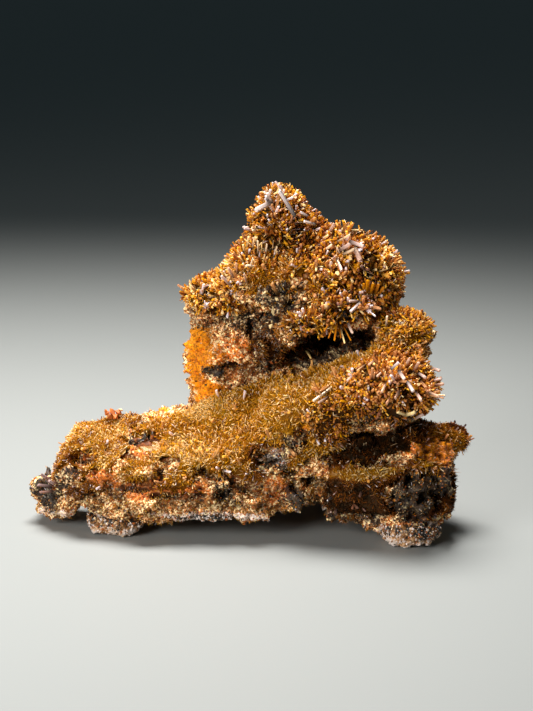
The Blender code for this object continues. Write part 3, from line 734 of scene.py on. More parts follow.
def vanadinite_material(name, roughness, grain, cream, shine_and_ground_shade):
    """Vanadinite grown as needles in a vug: brown to amber, painted shade at the roots, painted light at
    tips.

    It is adamantine, so that each flat face throws a hard glint. cream is the warmth over which pale
    crystals are cream and not lilac, and shine is the specular level.
    """
    tone = bpy.context.scene.specimen_colours
    material, tree, shader = new_material(name)
    warmth = add(tree, "ShaderNodeAttribute", attribute_name="warmth")
    pale = add(tree, "ShaderNodeAttribute", attribute_name="pale")
    along = add(tree, "ShaderNodeAttribute", attribute_name="along")
    where = add(tree, "ShaderNodeTexCoord")
    cloud = add(tree, "ShaderNodeTexNoise", {
        "Vector": where.outputs["Object"], "Scale": grain, "Detail": 3.0,
    })
    shift = add(tree, "ShaderNodeMath", {0: cloud.outputs[0], 1: 0.24, 2: -0.12}, operation="MULTIPLY_ADD")
    warm = add(tree, "ShaderNodeMath", {0: warmth.outputs["Fac"], 1: shift.outputs[0]}, operation="ADD")
    body = add(tree, "ShaderNodeValToRGB", {0: warm.outputs[0]}, stops=(
        (0.0, tone.crystal_black), (0.25, tone.crystal_red), (0.45, tone.crystal_orange),
        (0.62, tone.crystal_amber), (0.8, tone.crystal_gold), (1.0, tone.crystal_straw),
    ))
    white = add(tree, "ShaderNodeValToRGB", {0: warmth.outputs["Fac"]}, stops=(
        (cream, tone.crystal_lilac), (cream + 0.14, tone.crystal_cream),
    ))
    blanched = add(
        tree, "ShaderNodeMix", {0: pale.outputs["Fac"], 6: body.outputs[0], 7: white.outputs[0]},
        data_type="RGBA",
    )
    # Painted shade and light: a crystal darkens towards its root and grows brighter than its colour near the
    # tip.
    depth = add(tree, "ShaderNodeMapRange", {
        "Value": along.outputs["Fac"], "From Max": 0.85, "To Min": 0.05, "To Max": 1.25,
    })
    deep = add(
        tree, "ShaderNodeMix", {0: 1.0, 6: blanched.outputs[2], 7: depth.outputs[0]}, data_type="RGBA",
        blend_type="MULTIPLY",
    )
    tree.links.new(deep.outputs[2], shader.inputs["Base Color"])
    shader.inputs["Roughness"].default_value = roughness
    shader.inputs["IOR"].default_value = 1.6
    shader.inputs["Specular IOR Level"].default_value = shine_and_ground_shade
    shader.inputs["Specular Tint"].default_value = (*linear("#FFDCA8"), 1)
    return material


def gossan_material():
    """Gossan, weathered and granular: dull earthy iron oxides with pale grit.

    Manganese blackens it in patches and gives them a faint sheen; painted shade darkens hollows and pits.
    """
    tone = bpy.context.scene.specimen_colours
    material, tree, shader = new_material("gossan, weathered granular rock")
    where = add(tree, "ShaderNodeTexCoord").outputs["Object"]
    coarse = add(tree, "ShaderNodeTexNoise", {
        "Vector": where, "Scale": ROCK_PATCH, "Detail": 5.0, "Roughness": 0.65,
    })
    fine = add(tree, "ShaderNodeTexNoise", {
        "Vector": where, "Scale": ROCK_GRAIN, "Detail": 3.0, "Roughness": 0.7,
    })
    grit = add(tree, "ShaderNodeTexVoronoi", {"Vector": where, "Scale": ROCK_GRIT})
    sort = add(
        tree, "ShaderNodeMath", {0: grit.outputs["Color"], 1: 0.62, 2: -0.31}, operation="MULTIPLY_ADD",
    )
    mix = add(tree, "ShaderNodeMath", {0: sort.outputs[0], 1: coarse.outputs[0]}, operation="ADD")
    body = add(tree, "ShaderNodeValToRGB", {0: mix.outputs[0]}, stops=(
        (0.26, tone.rock_dark), (0.42, tone.rock_brown),
        (0.54, [a * 0.5 + b * 0.5 for a, b in zip(tone.rock_brown, tone.rock_rust)]), (0.64, tone.rock_tan),
        (0.8, tone.crystal_straw),
    ))
    layer = body.outputs[0]
    for label, shade, most in (
        ("rust", tone.rock_rust, 0.75),
        ("manganese", tone.rock_dark, 0.93),
        ("amber", tone.crystal_red, 0.85),
        ("pale", tone.calcite, 0.7),
        ("ochre", tone.rock_ochre, 0.96),
    ):
        share = add(tree, "ShaderNodeAttribute", attribute_name=label)
        ragged = add(
            tree, "ShaderNodeMath", {0: mix.outputs[0], 1: -0.9, 2: 0.45}, operation="MULTIPLY_ADD",
        )
        edge = add(tree, "ShaderNodeMath", {0: share.outputs["Fac"], 1: ragged.outputs[0]}, operation="ADD")
        cut = add(tree, "ShaderNodeMapRange", {
            "Value": edge.outputs[0], "From Min": 0.35, "From Max": 0.65, "To Max": most,
        })
        layer = add(
            tree, "ShaderNodeMix", {0: cut.outputs[0], 6: layer, 7: (*shade, 1)}, data_type="RGBA",
        ).outputs[2]
    shade = add(tree, "ShaderNodeMapRange", {
        "Value": fine.outputs[0], "From Min": 0.32, "From Max": 0.68, "To Min": 0.58, "To Max": 2.6,
    })
    # Painted shade: the raised value darkens hollows, pits and the rock under the crusts.
    raised = add(tree, "ShaderNodeAttribute", attribute_name="raised")
    painted_pit_shade = add(tree, "ShaderNodeMapRange", {
        "Value": raised.outputs["Fac"], "From Min": 0.25, "From Max": 0.62, "To Min": 0.12,
    })
    dark = add(tree, "ShaderNodeMath", {0: shade.outputs[0], 1: painted_pit_shade.outputs[0]}, operation="MULTIPLY")
    mottled_and_shaded = add(
        tree, "ShaderNodeMix", {0: 1.0, 6: layer, 7: dark.outputs[0]}, data_type="RGBA",
        blend_type="MULTIPLY",
    )
    bump = add(tree, "ShaderNodeBump", {"Height": fine.outputs[0], "Strength": 0.9, "Distance": 0.0004})
    black = add(tree, "ShaderNodeAttribute", attribute_name="manganese")
    sheen = add(tree, "ShaderNodeMapRange", {
        "Value": black.outputs["Fac"], "From Min": 0.5, "From Max": 0.9, "To Min": 0.8, "To Max": 0.38,
    })
    tree.links.new(mottled_and_shaded.outputs[2], shader.inputs["Base Color"])
    tree.links.new(bump.outputs[0], shader.inputs["Normal"])
    tree.links.new(sheen.outputs[0], shader.inputs["Roughness"])
    shader.inputs["IOR"].default_value = 1.45
    shader.inputs["Specular IOR Level"].default_value = 0.3
    return material


def calcite_material():
    """Calcite, grown as a sugary skin: white to pinkish grains with a soft sparkle."""
    tone = bpy.context.scene.specimen_colours
    material, tree, shader = new_material("calcite, sugary crystal skin")
    where = add(tree, "ShaderNodeTexCoord").outputs["Object"]
    grains = add(tree, "ShaderNodeTexVoronoi", {"Vector": where, "Scale": SUGAR_GRAIN})
    stain = add(tree, "ShaderNodeTexNoise", {
        "Vector": where, "Scale": SUGAR_STAIN, "Detail": 4.0, "Roughness": 0.6,
    })
    raised = add(tree, "ShaderNodeAttribute", attribute_name="raised")
    spread = add(tree, "ShaderNodeMath", {0: stain.outputs[0], 1: 0.8, 2: -0.15}, operation="MULTIPLY_ADD")
    clean = add(
        tree, "ShaderNodeMath", {0: raised.outputs["Fac"], 1: 0.55, 2: spread.outputs[0]},
        operation="MULTIPLY_ADD",
    )
    body = add(tree, "ShaderNodeValToRGB", {0: clean.outputs[0]}, stops=(
        (0.3, tone.rock_dark), (0.42, tone.rock_brown),
        (0.52, [a * 0.6 + b * 0.4 for a, b in zip(tone.rock_tan, tone.rock_rust)]),
        (0.62, [a * 0.7 + b * 0.2 for a, b in zip(tone.calcite, tone.rock_tan)]), (0.8, tone.calcite),
    ))
    bump = add(tree, "ShaderNodeBump", {
        "Height": grains.outputs["Distance"], "Strength": 0.7, "Distance": 0.0003,
    })
    tree.links.new(body.outputs[0], shader.inputs["Base Color"])
    tree.links.new(bump.outputs[0], shader.inputs["Normal"])
    shader.inputs["Roughness"].default_value = 0.38
    shader.inputs["IOR"].default_value = 1.58
    return material


# ---------------------------------------------------------------- pieces

ROCK = {}


def rock_form():
    """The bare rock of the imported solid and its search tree, made once."""
    if not ROCK:
        points, tris = arrays(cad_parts["gossan_matrix"].data)
        ROCK["points"], ROCK["tris"], ROCK["tree"] = points, tris, tree_of(points, tris)
    return ROCK


def ride_and_stand_for(piece, node):
    """The piece goes with the specimen and stands for the solid, which is hidden."""
    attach(piece, "root")
    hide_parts(node)


class SPECIMEN_OT_gossan(bpy.types.Operator):
    """Craggy iron-oxide rock"""

    bl_idname = "specimen.gossan"
    bl_label = "Gossan rock"

    def execute(self, context):
        form = rock_form()
        crag = context.scene.specimen_sizes.crag_height / MM
        points, tris = regrown(form["points"], form["tris"], ROCK_VOXEL)
        points = relaxed(points, tris, 1)
        normals = corner_normals(points, tris)
        covers = []
        for node in CRUST_NODES:
            skin = tree_of(*crust_form(node)[:2])
            covers.append([skin.find_nearest(Vector(p), 1.4)[3] or 9.0 for p in points])
        crusted = 1 - smooth(0.5, 0.8, np.min(covers, axis=0))
        covered = crusted * (1 - smooth(0.15, 0.42, bare_share(points)))
        flat = points * [1, 1, 1.9]
        broad, narrow = swell(flat, 6.5, 33), swell(flat, 3.0, 35)
        ledges = smooth(-0.16, 0.16, broad) + 0.6 * smooth(-0.2, 0.2, narrow) - 0.8
        hollows = smooth(0.46, 0.24, pebbles(points, 4.4, 45)) * smooth(-0.2, 0.2, swell(points, 9.0, 46))
        manganese = rock_share("manganese", points)
        turned = points @ np.array([[0.86, 0.35, -0.37], [-0.25, 0.92, 0.3], [0.45, -0.17, 0.88]])
        blocks = chance(np.floor(turned / [2.8, 2.8, 1.9]), 47) - 0.4
        rough = (
            1.1 * ledges
            - 1.4 * hollows
            + 0.9 * (0.6 - pebbles(points, 2.6, 41))
            + 0.8 * (0.6 - pebbles(points, 1.25, 43))
            + 0.5 * (chance(np.round(points * 50), 5) - 0.5)
            + 2.9 * blocks * smooth(0.55, 0.85, manganese)
        )
        under = 0.3 * swell(points, 1.4, 34) - 0.15
        pits = pit_depth(points)
        height = (crag * (rough - 0.3) - pits) * (1 - covered) + under * covered
        still = smooth(0.1, 1.2, points[:, 2])
        points = points + normals * (height * still)[:, None]
        points[:, 2] = np.maximum(points[:, 2], 0)
        ochre = rock_share("ochre", points)
        # Painted shade: the rock is darker in its hollows, in its pits and under the crusts; ochre is kept
        # light.
        level = np.maximum(np.where(covered > 0.5, 0.4, 0.5 + 0.24 * rough), 0.58 * ochre)
        build = Build()
        build.add(
            points, tris.ravel(), np.full(len(tris), 3), ochre=ochre, manganese=manganese,
            rust=rock_share("rust", points), amber=covered * 0.85, pale=rock_share("dust", points),
            raised=(level - 0.5 * pits).clip(0, 1),
        )
        ROCK["skin"] = points, tris, covered
        ROCK["tree_rough"] = tree_of(points, tris)
        piece = build.piece("gossan_rock", [gossan_material()], smooth_finish=(0,))
        ride_and_stand_for(piece, "gossan_matrix")
        return {"FINISHED"}


def prism_ends(points, tris, rock):
    """The large prisms of a solid crust: each end's centre, axis, radius and height over the rock.

    An end is a flat six-cornered face, found among the triangles by joining those that lie in one plane.
    """
    _, normal, area = faces_of(points, tris)
    owner = {}
    for index, tri in enumerate(tris.tolist()):
        for a, b in ((tri[0], tri[1]), (tri[1], tri[2]), (tri[2], tri[0])):
            owner[(a, b)] = index
    group = list(range(len(tris)))

    def root(k):
        """The first triangle of the flat that this one is in."""
        while group[k] != k:
            group[k] = group[group[k]]
            k = group[k]
        return k

    for (a, b), index in owner.items():
        other = owner.get((b, a))
        if other is not None and normal[index] @ normal[other] > 0.9995:
            group[root(index)] = root(other)
    flats = {}
    for k in range(len(tris)):
        flats.setdefault(root(k), []).append(k)
    found = []
    for members in flats.values():
        ids = np.unique(tris[members])
        spot = points[ids].mean(0)
        reach = np.linalg.norm(points[ids] - spot, axis=1)
        total = area[members].sum()
        even = reach.std() < 0.05 * reach.mean()
        if len(members) == 4 and len(ids) == 6 and 0.5 < total < 2.6 and even:
            axis = unit(normal[members].mean(0))
            hit = rock["tree"].ray_cast(Vector(spot), Vector(-axis))
            height = hit[3] if hit[3] else 4.0
            found.append((spot, axis, reach.mean(), min(height, 9.0)))
    return found


CRUSTS = {}


def crust_form(node):
    """The crust as even faces, made once.

    Gives its corners and faces, each corner's foot on the rock and height over it, and its prisms.
    """
    if node not in CRUSTS:
        rock = rock_form()
        points, tris = arrays(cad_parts[node].data)
        prisms = prism_ends(points, tris, rock)
        points, tris = regrown(points, tris, CRUST_VOXEL)
        foot = nearest(rock["tree"], points)
        CRUSTS[node] = points, tris, foot, np.linalg.norm(points - foot, axis=1), prisms
    return CRUSTS[node]


def scatter(points, tris, weights, count, rng):
    """Evenly random places on the triangles: triangle indices and points."""
    share = np.cumsum(weights / weights.sum())
    spots = (np.arange(count) + rng.uniform(0, 1, count)) / count
    pick = np.minimum(np.searchsorted(share, spots), len(tris) - 1)
    a, b = rng.uniform(0, 1, (2, count))
    flip = a + b > 1
    a, b = np.where(flip, 1 - a, a), np.where(flip, 1 - b, b)
    p0, p1, p2 = (points[tris[pick, k]] for k in range(3))
    return pick, p0 + (p1 - p0) * a[:, None] + (p2 - p0) * b[:, None]


def tuft_lean(spots, normals, spacing, rng):
    """Leaning of each needle away from the middle of its tuft."""
    count = max(8, int(len(spots) * 0.02))
    middles = spots[rng.choice(len(spots), count, replace=False)]
    lean = np.empty_like(spots)
    for start in range(0, len(spots), 2000):
        part = spots[start : start + 2000]
        gap = ((part[:, None] - middles[None]) ** 2).sum(2)
        lean[start : start + 2000] = part - middles[gap.argmin(1)]
    lean -= normals * (lean * normals).sum(1, keepdims=True)
    return np.clip(lean / spacing, -1.5, 1.5)


def whiteness(share, rng):
    """Paleness of each crystal where this share of them is pale."""
    count = len(share)
    white = rng.uniform(0, 1, count) < share
    return np.where(white, rng.uniform(0.55, 1, count), rng.uniform(0, 0.05, count))


def grow_crust(node, seed):
    """One crust: rough ground on the rock, needles out to the solid's skin, and prisms where it has them."""
    rng = np.random.default_rng(SEED + seed)
    size = bpy.context.scene.specimen_sizes
    width = size.needle_width / MM
    points, tris, foot, height, prisms = crust_form(node)
    out = unit(points - foot + 1e-6)
    height = np.minimum(height, CRUST_TALL)
    bare = bare_share(points)
    matted = painted(foot, *GROUND[node]) * np.maximum(height - 0.4, 0)
    dug = (1.6 + pit_depth(foot)) * smooth(0.3, 0.5, bare)
    low = np.minimum(height, 0.4 + matted) - 2.6 * smooth(0.12, 0.42, bare) - dug
    ground = foot + out * low[:, None]
    ground += out * (0.25 * swell(ground, 1.3, seed))[:, None]
    ground[:, 2] = np.maximum(ground[:, 2], 0.1)
    build = Build()
    warm = painted(ground, *WARMTH[node])
    # Painted shade: the ground between the needles is darkened through its along value, more where the crust
    # is coarse.
    shine_and_ground_shade = 0.26 - 0.2 * smooth(1.0, 1.5, painted(ground, *GROWTH[node]))
    build.add(ground, tris.ravel(), np.full(len(tris), 3), along=shine_and_ground_shade, pale=0.0, warmth=warm * 0.8)

    centre, normal, area = faces_of(ground, tris)
    outward = unit(out[tris].mean(1))
    bare = bare[tris].mean(1)
    room = (height - np.maximum(low, 0))[tris].mean(1).clip(0.5)
    rise = room * (1 - 0.5 * bare) * painted(centre, *REACH[node])
    outer = (normal * outward).sum(1) > -0.1
    grown = painted(centre, *GROWTH[node])
    coarse = smooth(1.0, 1.7, grown)
    clumps = swell(centre, 2.8, seed + 62) + 0.5 * swell(centre, 1.3, seed + 63)
    clumps = 1 - (0.55 + 0.42 * coarse) * smooth(0.25, -0.6, clumps)
    weights = np.where(outer, area * clumps * (1 - smooth(0.25, 0.6, bare)), 0)
    shares = (weights * (1 - 0.7 * coarse) / grown, weights, weights * (0.04 + coarse) / grown)
    for (sides, taper, thick, extra, tilt, pale_and_glint_odds), count, share in zip(KINDS, NEEDLES[node], shares):
        if not count:
            continue
        pick, spots = scatter(ground, tris, share, count, rng)
        growth = grown[pick] * np.exp(rng.normal(0, 0.32, count))
        up = unit(outward[pick] + 0.35 * normal[pick])
        wave = swell(spots, 4.5, seed + 60) + 0.7 * swell(spots, 2.0, seed + 61)
        wave *= 0.25 + 0.6 * coarse[pick]
        lean = tuft_lean(spots, up, size.tuft_spacing / MM, rng)
        dome = (0.25 + 0.4 * coarse[pick]) * (lean**2).sum(1).clip(0, 1.5)
        drop = rng.beta(1.3, 2.2, count) * 1.1 - 0.4 - wave + dome
        tall = (rise[pick] - drop * (rise[pick] / 1.7).clip(0.25, 1)).clip(0.3)
        axes = unit(up + lean * size.needle_lean + rng.normal(0, tilt, (count, 3)))
        slant = (axes * up).sum(1).clip(0.45)
        lengths = (tall / slant + 0.3 + extra).clip(0, 3.3)
        tips = spots + axes * (lengths - 0.3)[:, None]
        tips[:, 2] = np.maximum(tips[:, 2], 0.2)
        warmth = painted(spots, *WARMTH[node])
        warmth += MOTTLE[node] * (swell(spots, 1.3, seed + 64) + swell(spots, 3.0, seed + 65))
        warmth = (warmth + rng.normal(0, 0.11, count) * (1 + 1.4 * coarse[pick])).clip(0, 1)
        # Pale crystals: partly real pale ones, partly painted glints.
        odds = painted(spots, *PALE[node]) * (0.7 - 0.2 * coarse[pick]) + pale_and_glint_odds
        pale = whiteness(odds, rng) * smooth(0.12, 0.42, warmth)
        radii = thick * width * (growth if sides > 4 else np.sqrt(growth))
        crystals(build, tips, axes, lengths, radii, sides, taper, rng, warmth=warmth, pale=pale)
    solid_prisms(build, node, prisms, rng)
    stout_prisms(build, node, ground, tris, outward, weights * np.maximum(grown - 0.9, 0) ** 1.5, rise, rng)
    lone_prisms(build, node, rng)
    return build


def blunt_prisms(build, tips, axes, lengths, radii, taper, rng, warmth, pale):
    """Adds six-sided crystals with a low pyramid for an end, in the prisms' own finish."""
    crystals(
        build, tips, axes, lengths, radii, 6, taper, rng, finish=1, point=0.5, warmth=warmth, pale=pale,
    )


def lone_prisms(build, node, rng):
    """The crystals of LONE_CRYSTALS that are rooted in this crust."""
    for row in LONE_CRYSTALS:
        tip, bottom = np.array(row[:3]) + LIFT, np.array(row[3:6]) + LIFT
        thick, white, warm = row[6:]
        if nearest_crust(bottom) != node:
            continue
        axis = tip - bottom
        length = np.linalg.norm(axis) + 0.4
        pale = white**1.5 * rng.uniform(0.75, 1)
        blunt_prisms(build, tip[None], axis[None], length, thick * 0.5, 0.93, rng, warm, pale)


def solid_prisms(build, node, prisms, rng):
    """Small bunches of parallel crystals where the solid carries a prism."""
    for spot, axis, radius, tallness in prisms:
        bunch = rng.integers(2, 5)
        radius *= SHRINK.get(node, 1.0)
        spot = spot - axis * SUNK.get(node, 0.0)
        share = painted(spot[None], *PALE[node])[0]
        warm = painted(spot[None], *WARMTH[node])[0]
        aside = np.cross(axis, unit(rng.normal(0, 1, (bunch, 3))))
        offset = aside * radius * 0.75
        offset[0] = 0
        drop = rng.uniform(0.2, 2.2, bunch)
        drop[0] = 0
        tips = spot + offset - axis * drop[:, None]
        white = rng.uniform(0, 1) < share * 1.6 and node not in SUNK
        lengths = np.full(bunch, tallness + 0.4) - drop * 0.5
        radii = radius * rng.uniform(0.32, 0.55, bunch)
        warmth = np.clip(warm + rng.normal(0, 0.06, bunch), 0, 1)
        pale = np.full(bunch, 0.85 if white else 0.12)
        blunt_prisms(build, tips, axis + offset * 0.12, lengths, radii, 0.92, rng, warmth, pale)


def stout_prisms(build, node, ground, tris, outward, weights, rise, rng):
    """Crystals a few times thicker than a needle, singly and in pairs, where the crust has grown coarse."""
    count = STOUT_COUNT[node]
    pick, spots = scatter(ground, tris, weights, count, rng)
    second = rng.uniform(0, 1, count) < 0.5
    pick, spots = np.concatenate([pick, pick[second]]), np.concatenate([spots, spots[second]])
    count = len(pick)
    up = outward[pick]
    axes = unit(up + rng.normal(0, 0.42, (count, 3)))
    lengths = rise[pick] + rng.uniform(0.2, 1.5, count)
    radii = rng.uniform(0.2, 0.42, count)
    tips = spots + axes * lengths[:, None]
    share = painted(spots, *PALE[node])
    pale = np.where(rng.uniform(0, 1, count) < share * 1.3, rng.uniform(0.5, 0.95, count), 0.05)
    warmth = painted(spots, *WARMTH[node]) + rng.normal(-0.04, 0.08, count)
    blunt_prisms(build, tips, axes, lengths + 0.3, radii, 0.9, rng, warmth.clip(0, 1), pale)


SKINS = {}


def nearest_crust(spot):
    """The crust that this place lies on."""
    if not SKINS:
        for node in CRUST_NODES:
            SKINS[node] = tree_of(*arrays(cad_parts[node].data))
    return min(CRUST_NODES, key=lambda node: SKINS[node].find_nearest(Vector(spot))[3])


MATERIALS = {}


def crust_materials():
    """The two crystal finishes, made once."""
    if not MATERIALS:
        MATERIALS["needle"] = vanadinite_material(
            "vanadinite, vug-grown needles", 0.25, NEEDLE_CLOUD, 0.32, 0.2,
        )
        MATERIALS["prism"] = vanadinite_material(
            "vanadinite, vug-grown prisms", 0.2, PRISM_CLOUD, 0.72, 0.4,
        )
    return [MATERIALS["needle"], MATERIALS["prism"]]


class SPECIMEN_OT_crusts(bpy.types.Operator):
    """Vanadinite crusts of needles and prisms over the summit, slope, toe, block and crevice"""

    bl_idname = "specimen.crusts"
    bl_label = "Vanadinite crusts"

    def execute(self, context):
        for seed, node in enumerate(CRUST_NODES):
            piece = grow_crust(node, seed * 100).piece(node.replace("druse", "needles"), crust_materials())
            ride_and_stand_for(piece, node)
        return {"FINISHED"}


class SPECIMEN_OT_fuzz(bpy.types.Operator):
    """Fine needles scattered over the rest of the rock, thinner at the back"""

    bl_idname = "specimen.fuzz"
    bl_label = "Matrix needles"

    def execute(self, context):
        rng = np.random.default_rng(SEED + 900)
        width = context.scene.specimen_sizes.needle_width / MM
        points, tris, covered = ROCK["skin"]
        centre, _, area = faces_of(points, tris)
        ochre, manganese, furry = (rock_share(label, centre) for label in ("ochre", "manganese", "fur"))
        front = 1 - smooth(4, 14, centre[:, 1])
        weights = area * (0.3 + 0.7 * front) * (1 - 0.95 * ochre) * (1 - 0.6 * manganese) * (1 + 4 * furry)
        weights *= (1 - covered[tris].mean(1)) * smooth(1.2, 3.0, centre[:, 2])
        weights *= smooth(-0.7, 0.5, swell(centre, 3.5, 71) + 0.5)
        count = MATRIX_NEEDLES
        pick, spots = scatter(points, tris, weights, count, rng)
        up = corner_normals(relaxed(points, tris, 3), tris)[tris[pick, 0]]
        axes = unit(up + rng.normal(0, 0.7, (count, 3)))
        lengths = rng.uniform(0.45, 1.15, count) * (1 + 0.8 * furry[pick])
        tips = spots + axes * (lengths * 0.75)[:, None]
        tips[:, 2] = np.maximum(tips[:, 2], 0.3)
        warmth = np.where(rng.uniform(0, 1, count) < 0.35, 0.15, 0.68) + 0.2 * swell(spots, 6.0, 72)
        warmth = (warmth + rng.normal(0, 0.1, count)) * (1 - 0.5 * manganese[pick])
        fur_warmth = painted(spots, 0.34, FUR_WARMTH) + 0.1 * swell(spots, 2.0, 75)
        warmth = warmth * (1 - furry[pick]) + fur_warmth * furry[pick]
        build = Build()
        crystals(
            build, tips, axes, lengths, 0.6 * width * rng.uniform(0.8, 1.3, count), 3, 0, rng,
            warmth=warmth.clip(0, 1), pale=whiteness(0.16 - 0.1 * furry[pick], rng),
        )
        piece = build.piece("matrix_needles", crust_materials())
        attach(piece, "root")
        return {"FINISHED"}


def crumb_material():
    """Crumbs of gossan, broken grains: each its own iron, manganese or clay colour, with dull faces."""
    tone = bpy.context.scene.specimen_colours
    material, tree, shader = new_material("gossan, broken crumbs")
    sort = add(tree, "ShaderNodeAttribute", attribute_name="sort")
    where = add(tree, "ShaderNodeTexCoord").outputs["Object"]
    cloud = add(tree, "ShaderNodeTexNoise", {"Vector": where, "Scale": CRUMB_CLOUD, "Detail": 2.0})
    shift = add(tree, "ShaderNodeMath", {0: cloud.outputs[0], 1: 0.16, 2: -0.08}, operation="MULTIPLY_ADD")
    place = add(tree, "ShaderNodeMath", {0: sort.outputs["Fac"], 1: shift.outputs[0]}, operation="ADD")
    body = add(tree, "ShaderNodeValToRGB", {0: place.outputs[0]}, stops=(
        (0.0, tone.rock_dark), (0.2, tone.rock_brown), (0.4, tone.rock_rust), (0.6, tone.rock_ochre),
        (0.8, tone.rock_tan), (1.0, tone.crystal_straw),
    ))
    tree.links.new(body.outputs[0], shader.inputs["Base Color"])
    shader.inputs["Roughness"].default_value = 0.7
    shader.inputs["IOR"].default_value = 1.55
    return material


def crumbs(build, spots, sizes, sorts, rng, finish=0, **values):
    """Adds a broken eight-sided grain at each place; sizes are its half axes."""
    count = len(spots)
    first = unit(rng.normal(0, 1, (count, 3)))
    second = unit(np.cross(first, rng.normal(0, 1, (count, 3))))
    arms = np.stack([first, second, np.cross(first, second)], axis=1) * sizes[..., None]
    ends = np.concatenate([arms, -arms], axis=1) * rng.uniform(0.7, 1.2, (count, 6, 1))
    points = spots[:, None] + ends
    points[..., 2] = np.maximum(points[..., 2], 0.05)
    a, b, c = np.array([0, 1, 3, 4, 1, 3, 4, 0]), np.array([1, 3, 4, 0, 0, 1, 3, 4]), np.repeat([2, 5], 4)
    faces = np.stack([a, b, c], axis=1).ravel()
    build.add(
        points.reshape(-1, 3), (faces + np.arange(count)[:, None] * 6).ravel(), np.full(count * 8, 3),
        finish, sort=np.repeat(sorts, 6), **values,
    )


class SPECIMEN_OT_crumbs(bpy.types.Operator):
    """Loose-looking crumbs and pale chips set in the bare rock"""

    bl_idname = "specimen.crumbs"
    bl_label = "Rock crumbs"

    def execute(self, context):
        rng = np.random.default_rng(SEED + 700)
        points, tris, covered = ROCK["skin"]
        centre, normal, area = faces_of(points, tris)
        bare = (1 - covered[tris].mean(1)) * smooth(0.8, 2.0, centre[:, 2])
        front = 1 - smooth(4, 14, centre[:, 1])
        count = ROCK_CRUMBS
        furry = rock_share("fur", centre)
        hollow = pit_depth(centre).clip(0, 1)
        weights = area * bare * (0.35 + 0.65 * front) * (1 - 0.9 * furry) * (1 - 0.8 * hollow)
        pick, spots = scatter(points, tris, weights, count, rng)
        labels = ("ochre", "manganese", "rust", "dust")
        ochre, manganese, rust, dusty = (rock_share(label, spots) for label in labels)
        lofty = smooth(25, 48, spots[:, 2])
        patch = swell(spots, 1.7, 73) + 0.7 * swell(spots, 4.0, 74)
        clean = (1 - 0.9 * ochre) * (1 - 0.95 * manganese)
        clean *= 1 - 0.75 * smooth(0.5, 0.95, rust)
        clean *= np.exp(1.6 * patch)
        odds = np.stack(
            [
                (0.11 + 0.85 * manganese) * np.exp(-1.6 * patch) * (1 - 0.6 * dusty),
                0.16 * (1 - 0.6 * manganese), (0.06 + rust * 1.1) * (1 - 0.6 * manganese),
                0.03 + 0.36 * rust + ochre * 6, (0.34 + 0.22 * lofty) * clean * (1 + dusty),
                (0.15 + 0.12 * lofty) * clean * (1 + 3 * dusty),
            ]
        )
        odds = np.cumsum(odds / odds.sum(0), axis=0)
        sorts = (rng.uniform(0, 1, count) > odds).sum(0) * 0.2
        sizes = rng.uniform(0.6, 1.2, (count, 3)) * (0.2 + 0.45 * rng.beta(1, 4, (count, 1)))
        build = Build()
        chips = []
        for x, y, z, *_ in CHIPS:
            spot = Vector((x, y, z))
            hit = ROCK["tree_rough"].ray_cast(spot - FRONT * 12, FRONT)[0] or spot
            chips.append(hit - FRONT * CHIP_OUT)
        chips = np.array(chips)
        clear = np.linalg.norm(spots[:, None] - chips, axis=2).min(1) > 1.0
        crumbs(build, (spots + normal[pick] * 0.05)[clear], sizes[clear], sorts[clear], rng)
        for spot, (_, _, _, wide, sort) in zip(chips, CHIPS):
            sizes = np.array([[wide * 1.1, wide * 0.7, wide * 0.7]])
            crumbs(build, spot[None], sizes, np.array([sort]), rng)
        for x, y, z, wide, sort in KNOB:
            sizes = np.array([[wide, wide * 0.8, wide * 0.6]])
            crumbs(build, np.array([[x, y, z]]), sizes, np.array([sort]), rng)
        piece = build.piece("rock_crumbs", [crumb_material()])
        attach(piece, "root")
        return {"FINISHED"}


class SPECIMEN_OT_calcite(bpy.types.Operator):
    """Sugary calcite skins at the foot"""

    bl_idname = "specimen.calcite"
    bl_label = "Calcite skins"

    def execute(self, context):
        material, crumb = calcite_material(), bpy.data.materials["gossan, broken crumbs"]
        for seed, node in enumerate(CALCITE_NODES):
            points, tris = regrown(*arrays(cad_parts[node].data), CALCITE_VOXEL)
            points = relaxed(points, tris, 2)
            normals = corner_normals(points, tris)
            sugar = (
                0.9 * (0.5 - pebbles(points, 1.9, 81 + seed)) + 0.4 * (
                    0.55 - pebbles(points, 0.85, 87 + seed)
                ) + 0.35 * swell(points, 3.2, 84 + seed)
            )
            points = points + normals * sugar[:, None]
            points[:, 2] = np.maximum(points[:, 2], 0.1)
            build = Build()
            clean = 0.55 + 0.7 * sugar - 0.5 * smooth(1.6, 3.8, points[:, 2])
            build.add(points, tris.ravel(), np.full(len(tris), 3), raised=clean.clip(0, 1), sort=0.0)
            rng = np.random.default_rng(SEED + 800 + seed)
            centre, _, area = faces_of(points, tris)
            weights = area * (0.2 + smooth(0.6, 2.6, centre[:, 2]))
            _, spots = scatter(points, tris, weights, CALCITE_CRUMBS, rng)
            sizes = rng.uniform(0.6, 1.2, (CALCITE_CRUMBS, 3))
            sizes *= 0.16 + 0.6 * rng.beta(1, 4, (CALCITE_CRUMBS, 1))
            sorts = rng.choice([0.0, 0.2, 0.36, 0.8], CALCITE_CRUMBS, p=[0.36, 0.3, 0.2, 0.14])
            low = rng.uniform(0, 1, CALCITE_CRUMBS) < CLEAN[node] + 0.7 * smooth(3.2, 1.2, spots[:, 2])
            crumbs(build, spots[low], sizes[low], sorts[low], rng, finish=0, raised=1.0)
            crumbs(build, spots[~low], sizes[~low], sorts[~low], rng, finish=1, raised=0.0)
            piece = build.piece(node.replace("calcite", "calcite_skin"), [material, crumb])
            ride_and_stand_for(piece, node)
        return {"FINISHED"}


# ---------------------------------------------------------------- stage

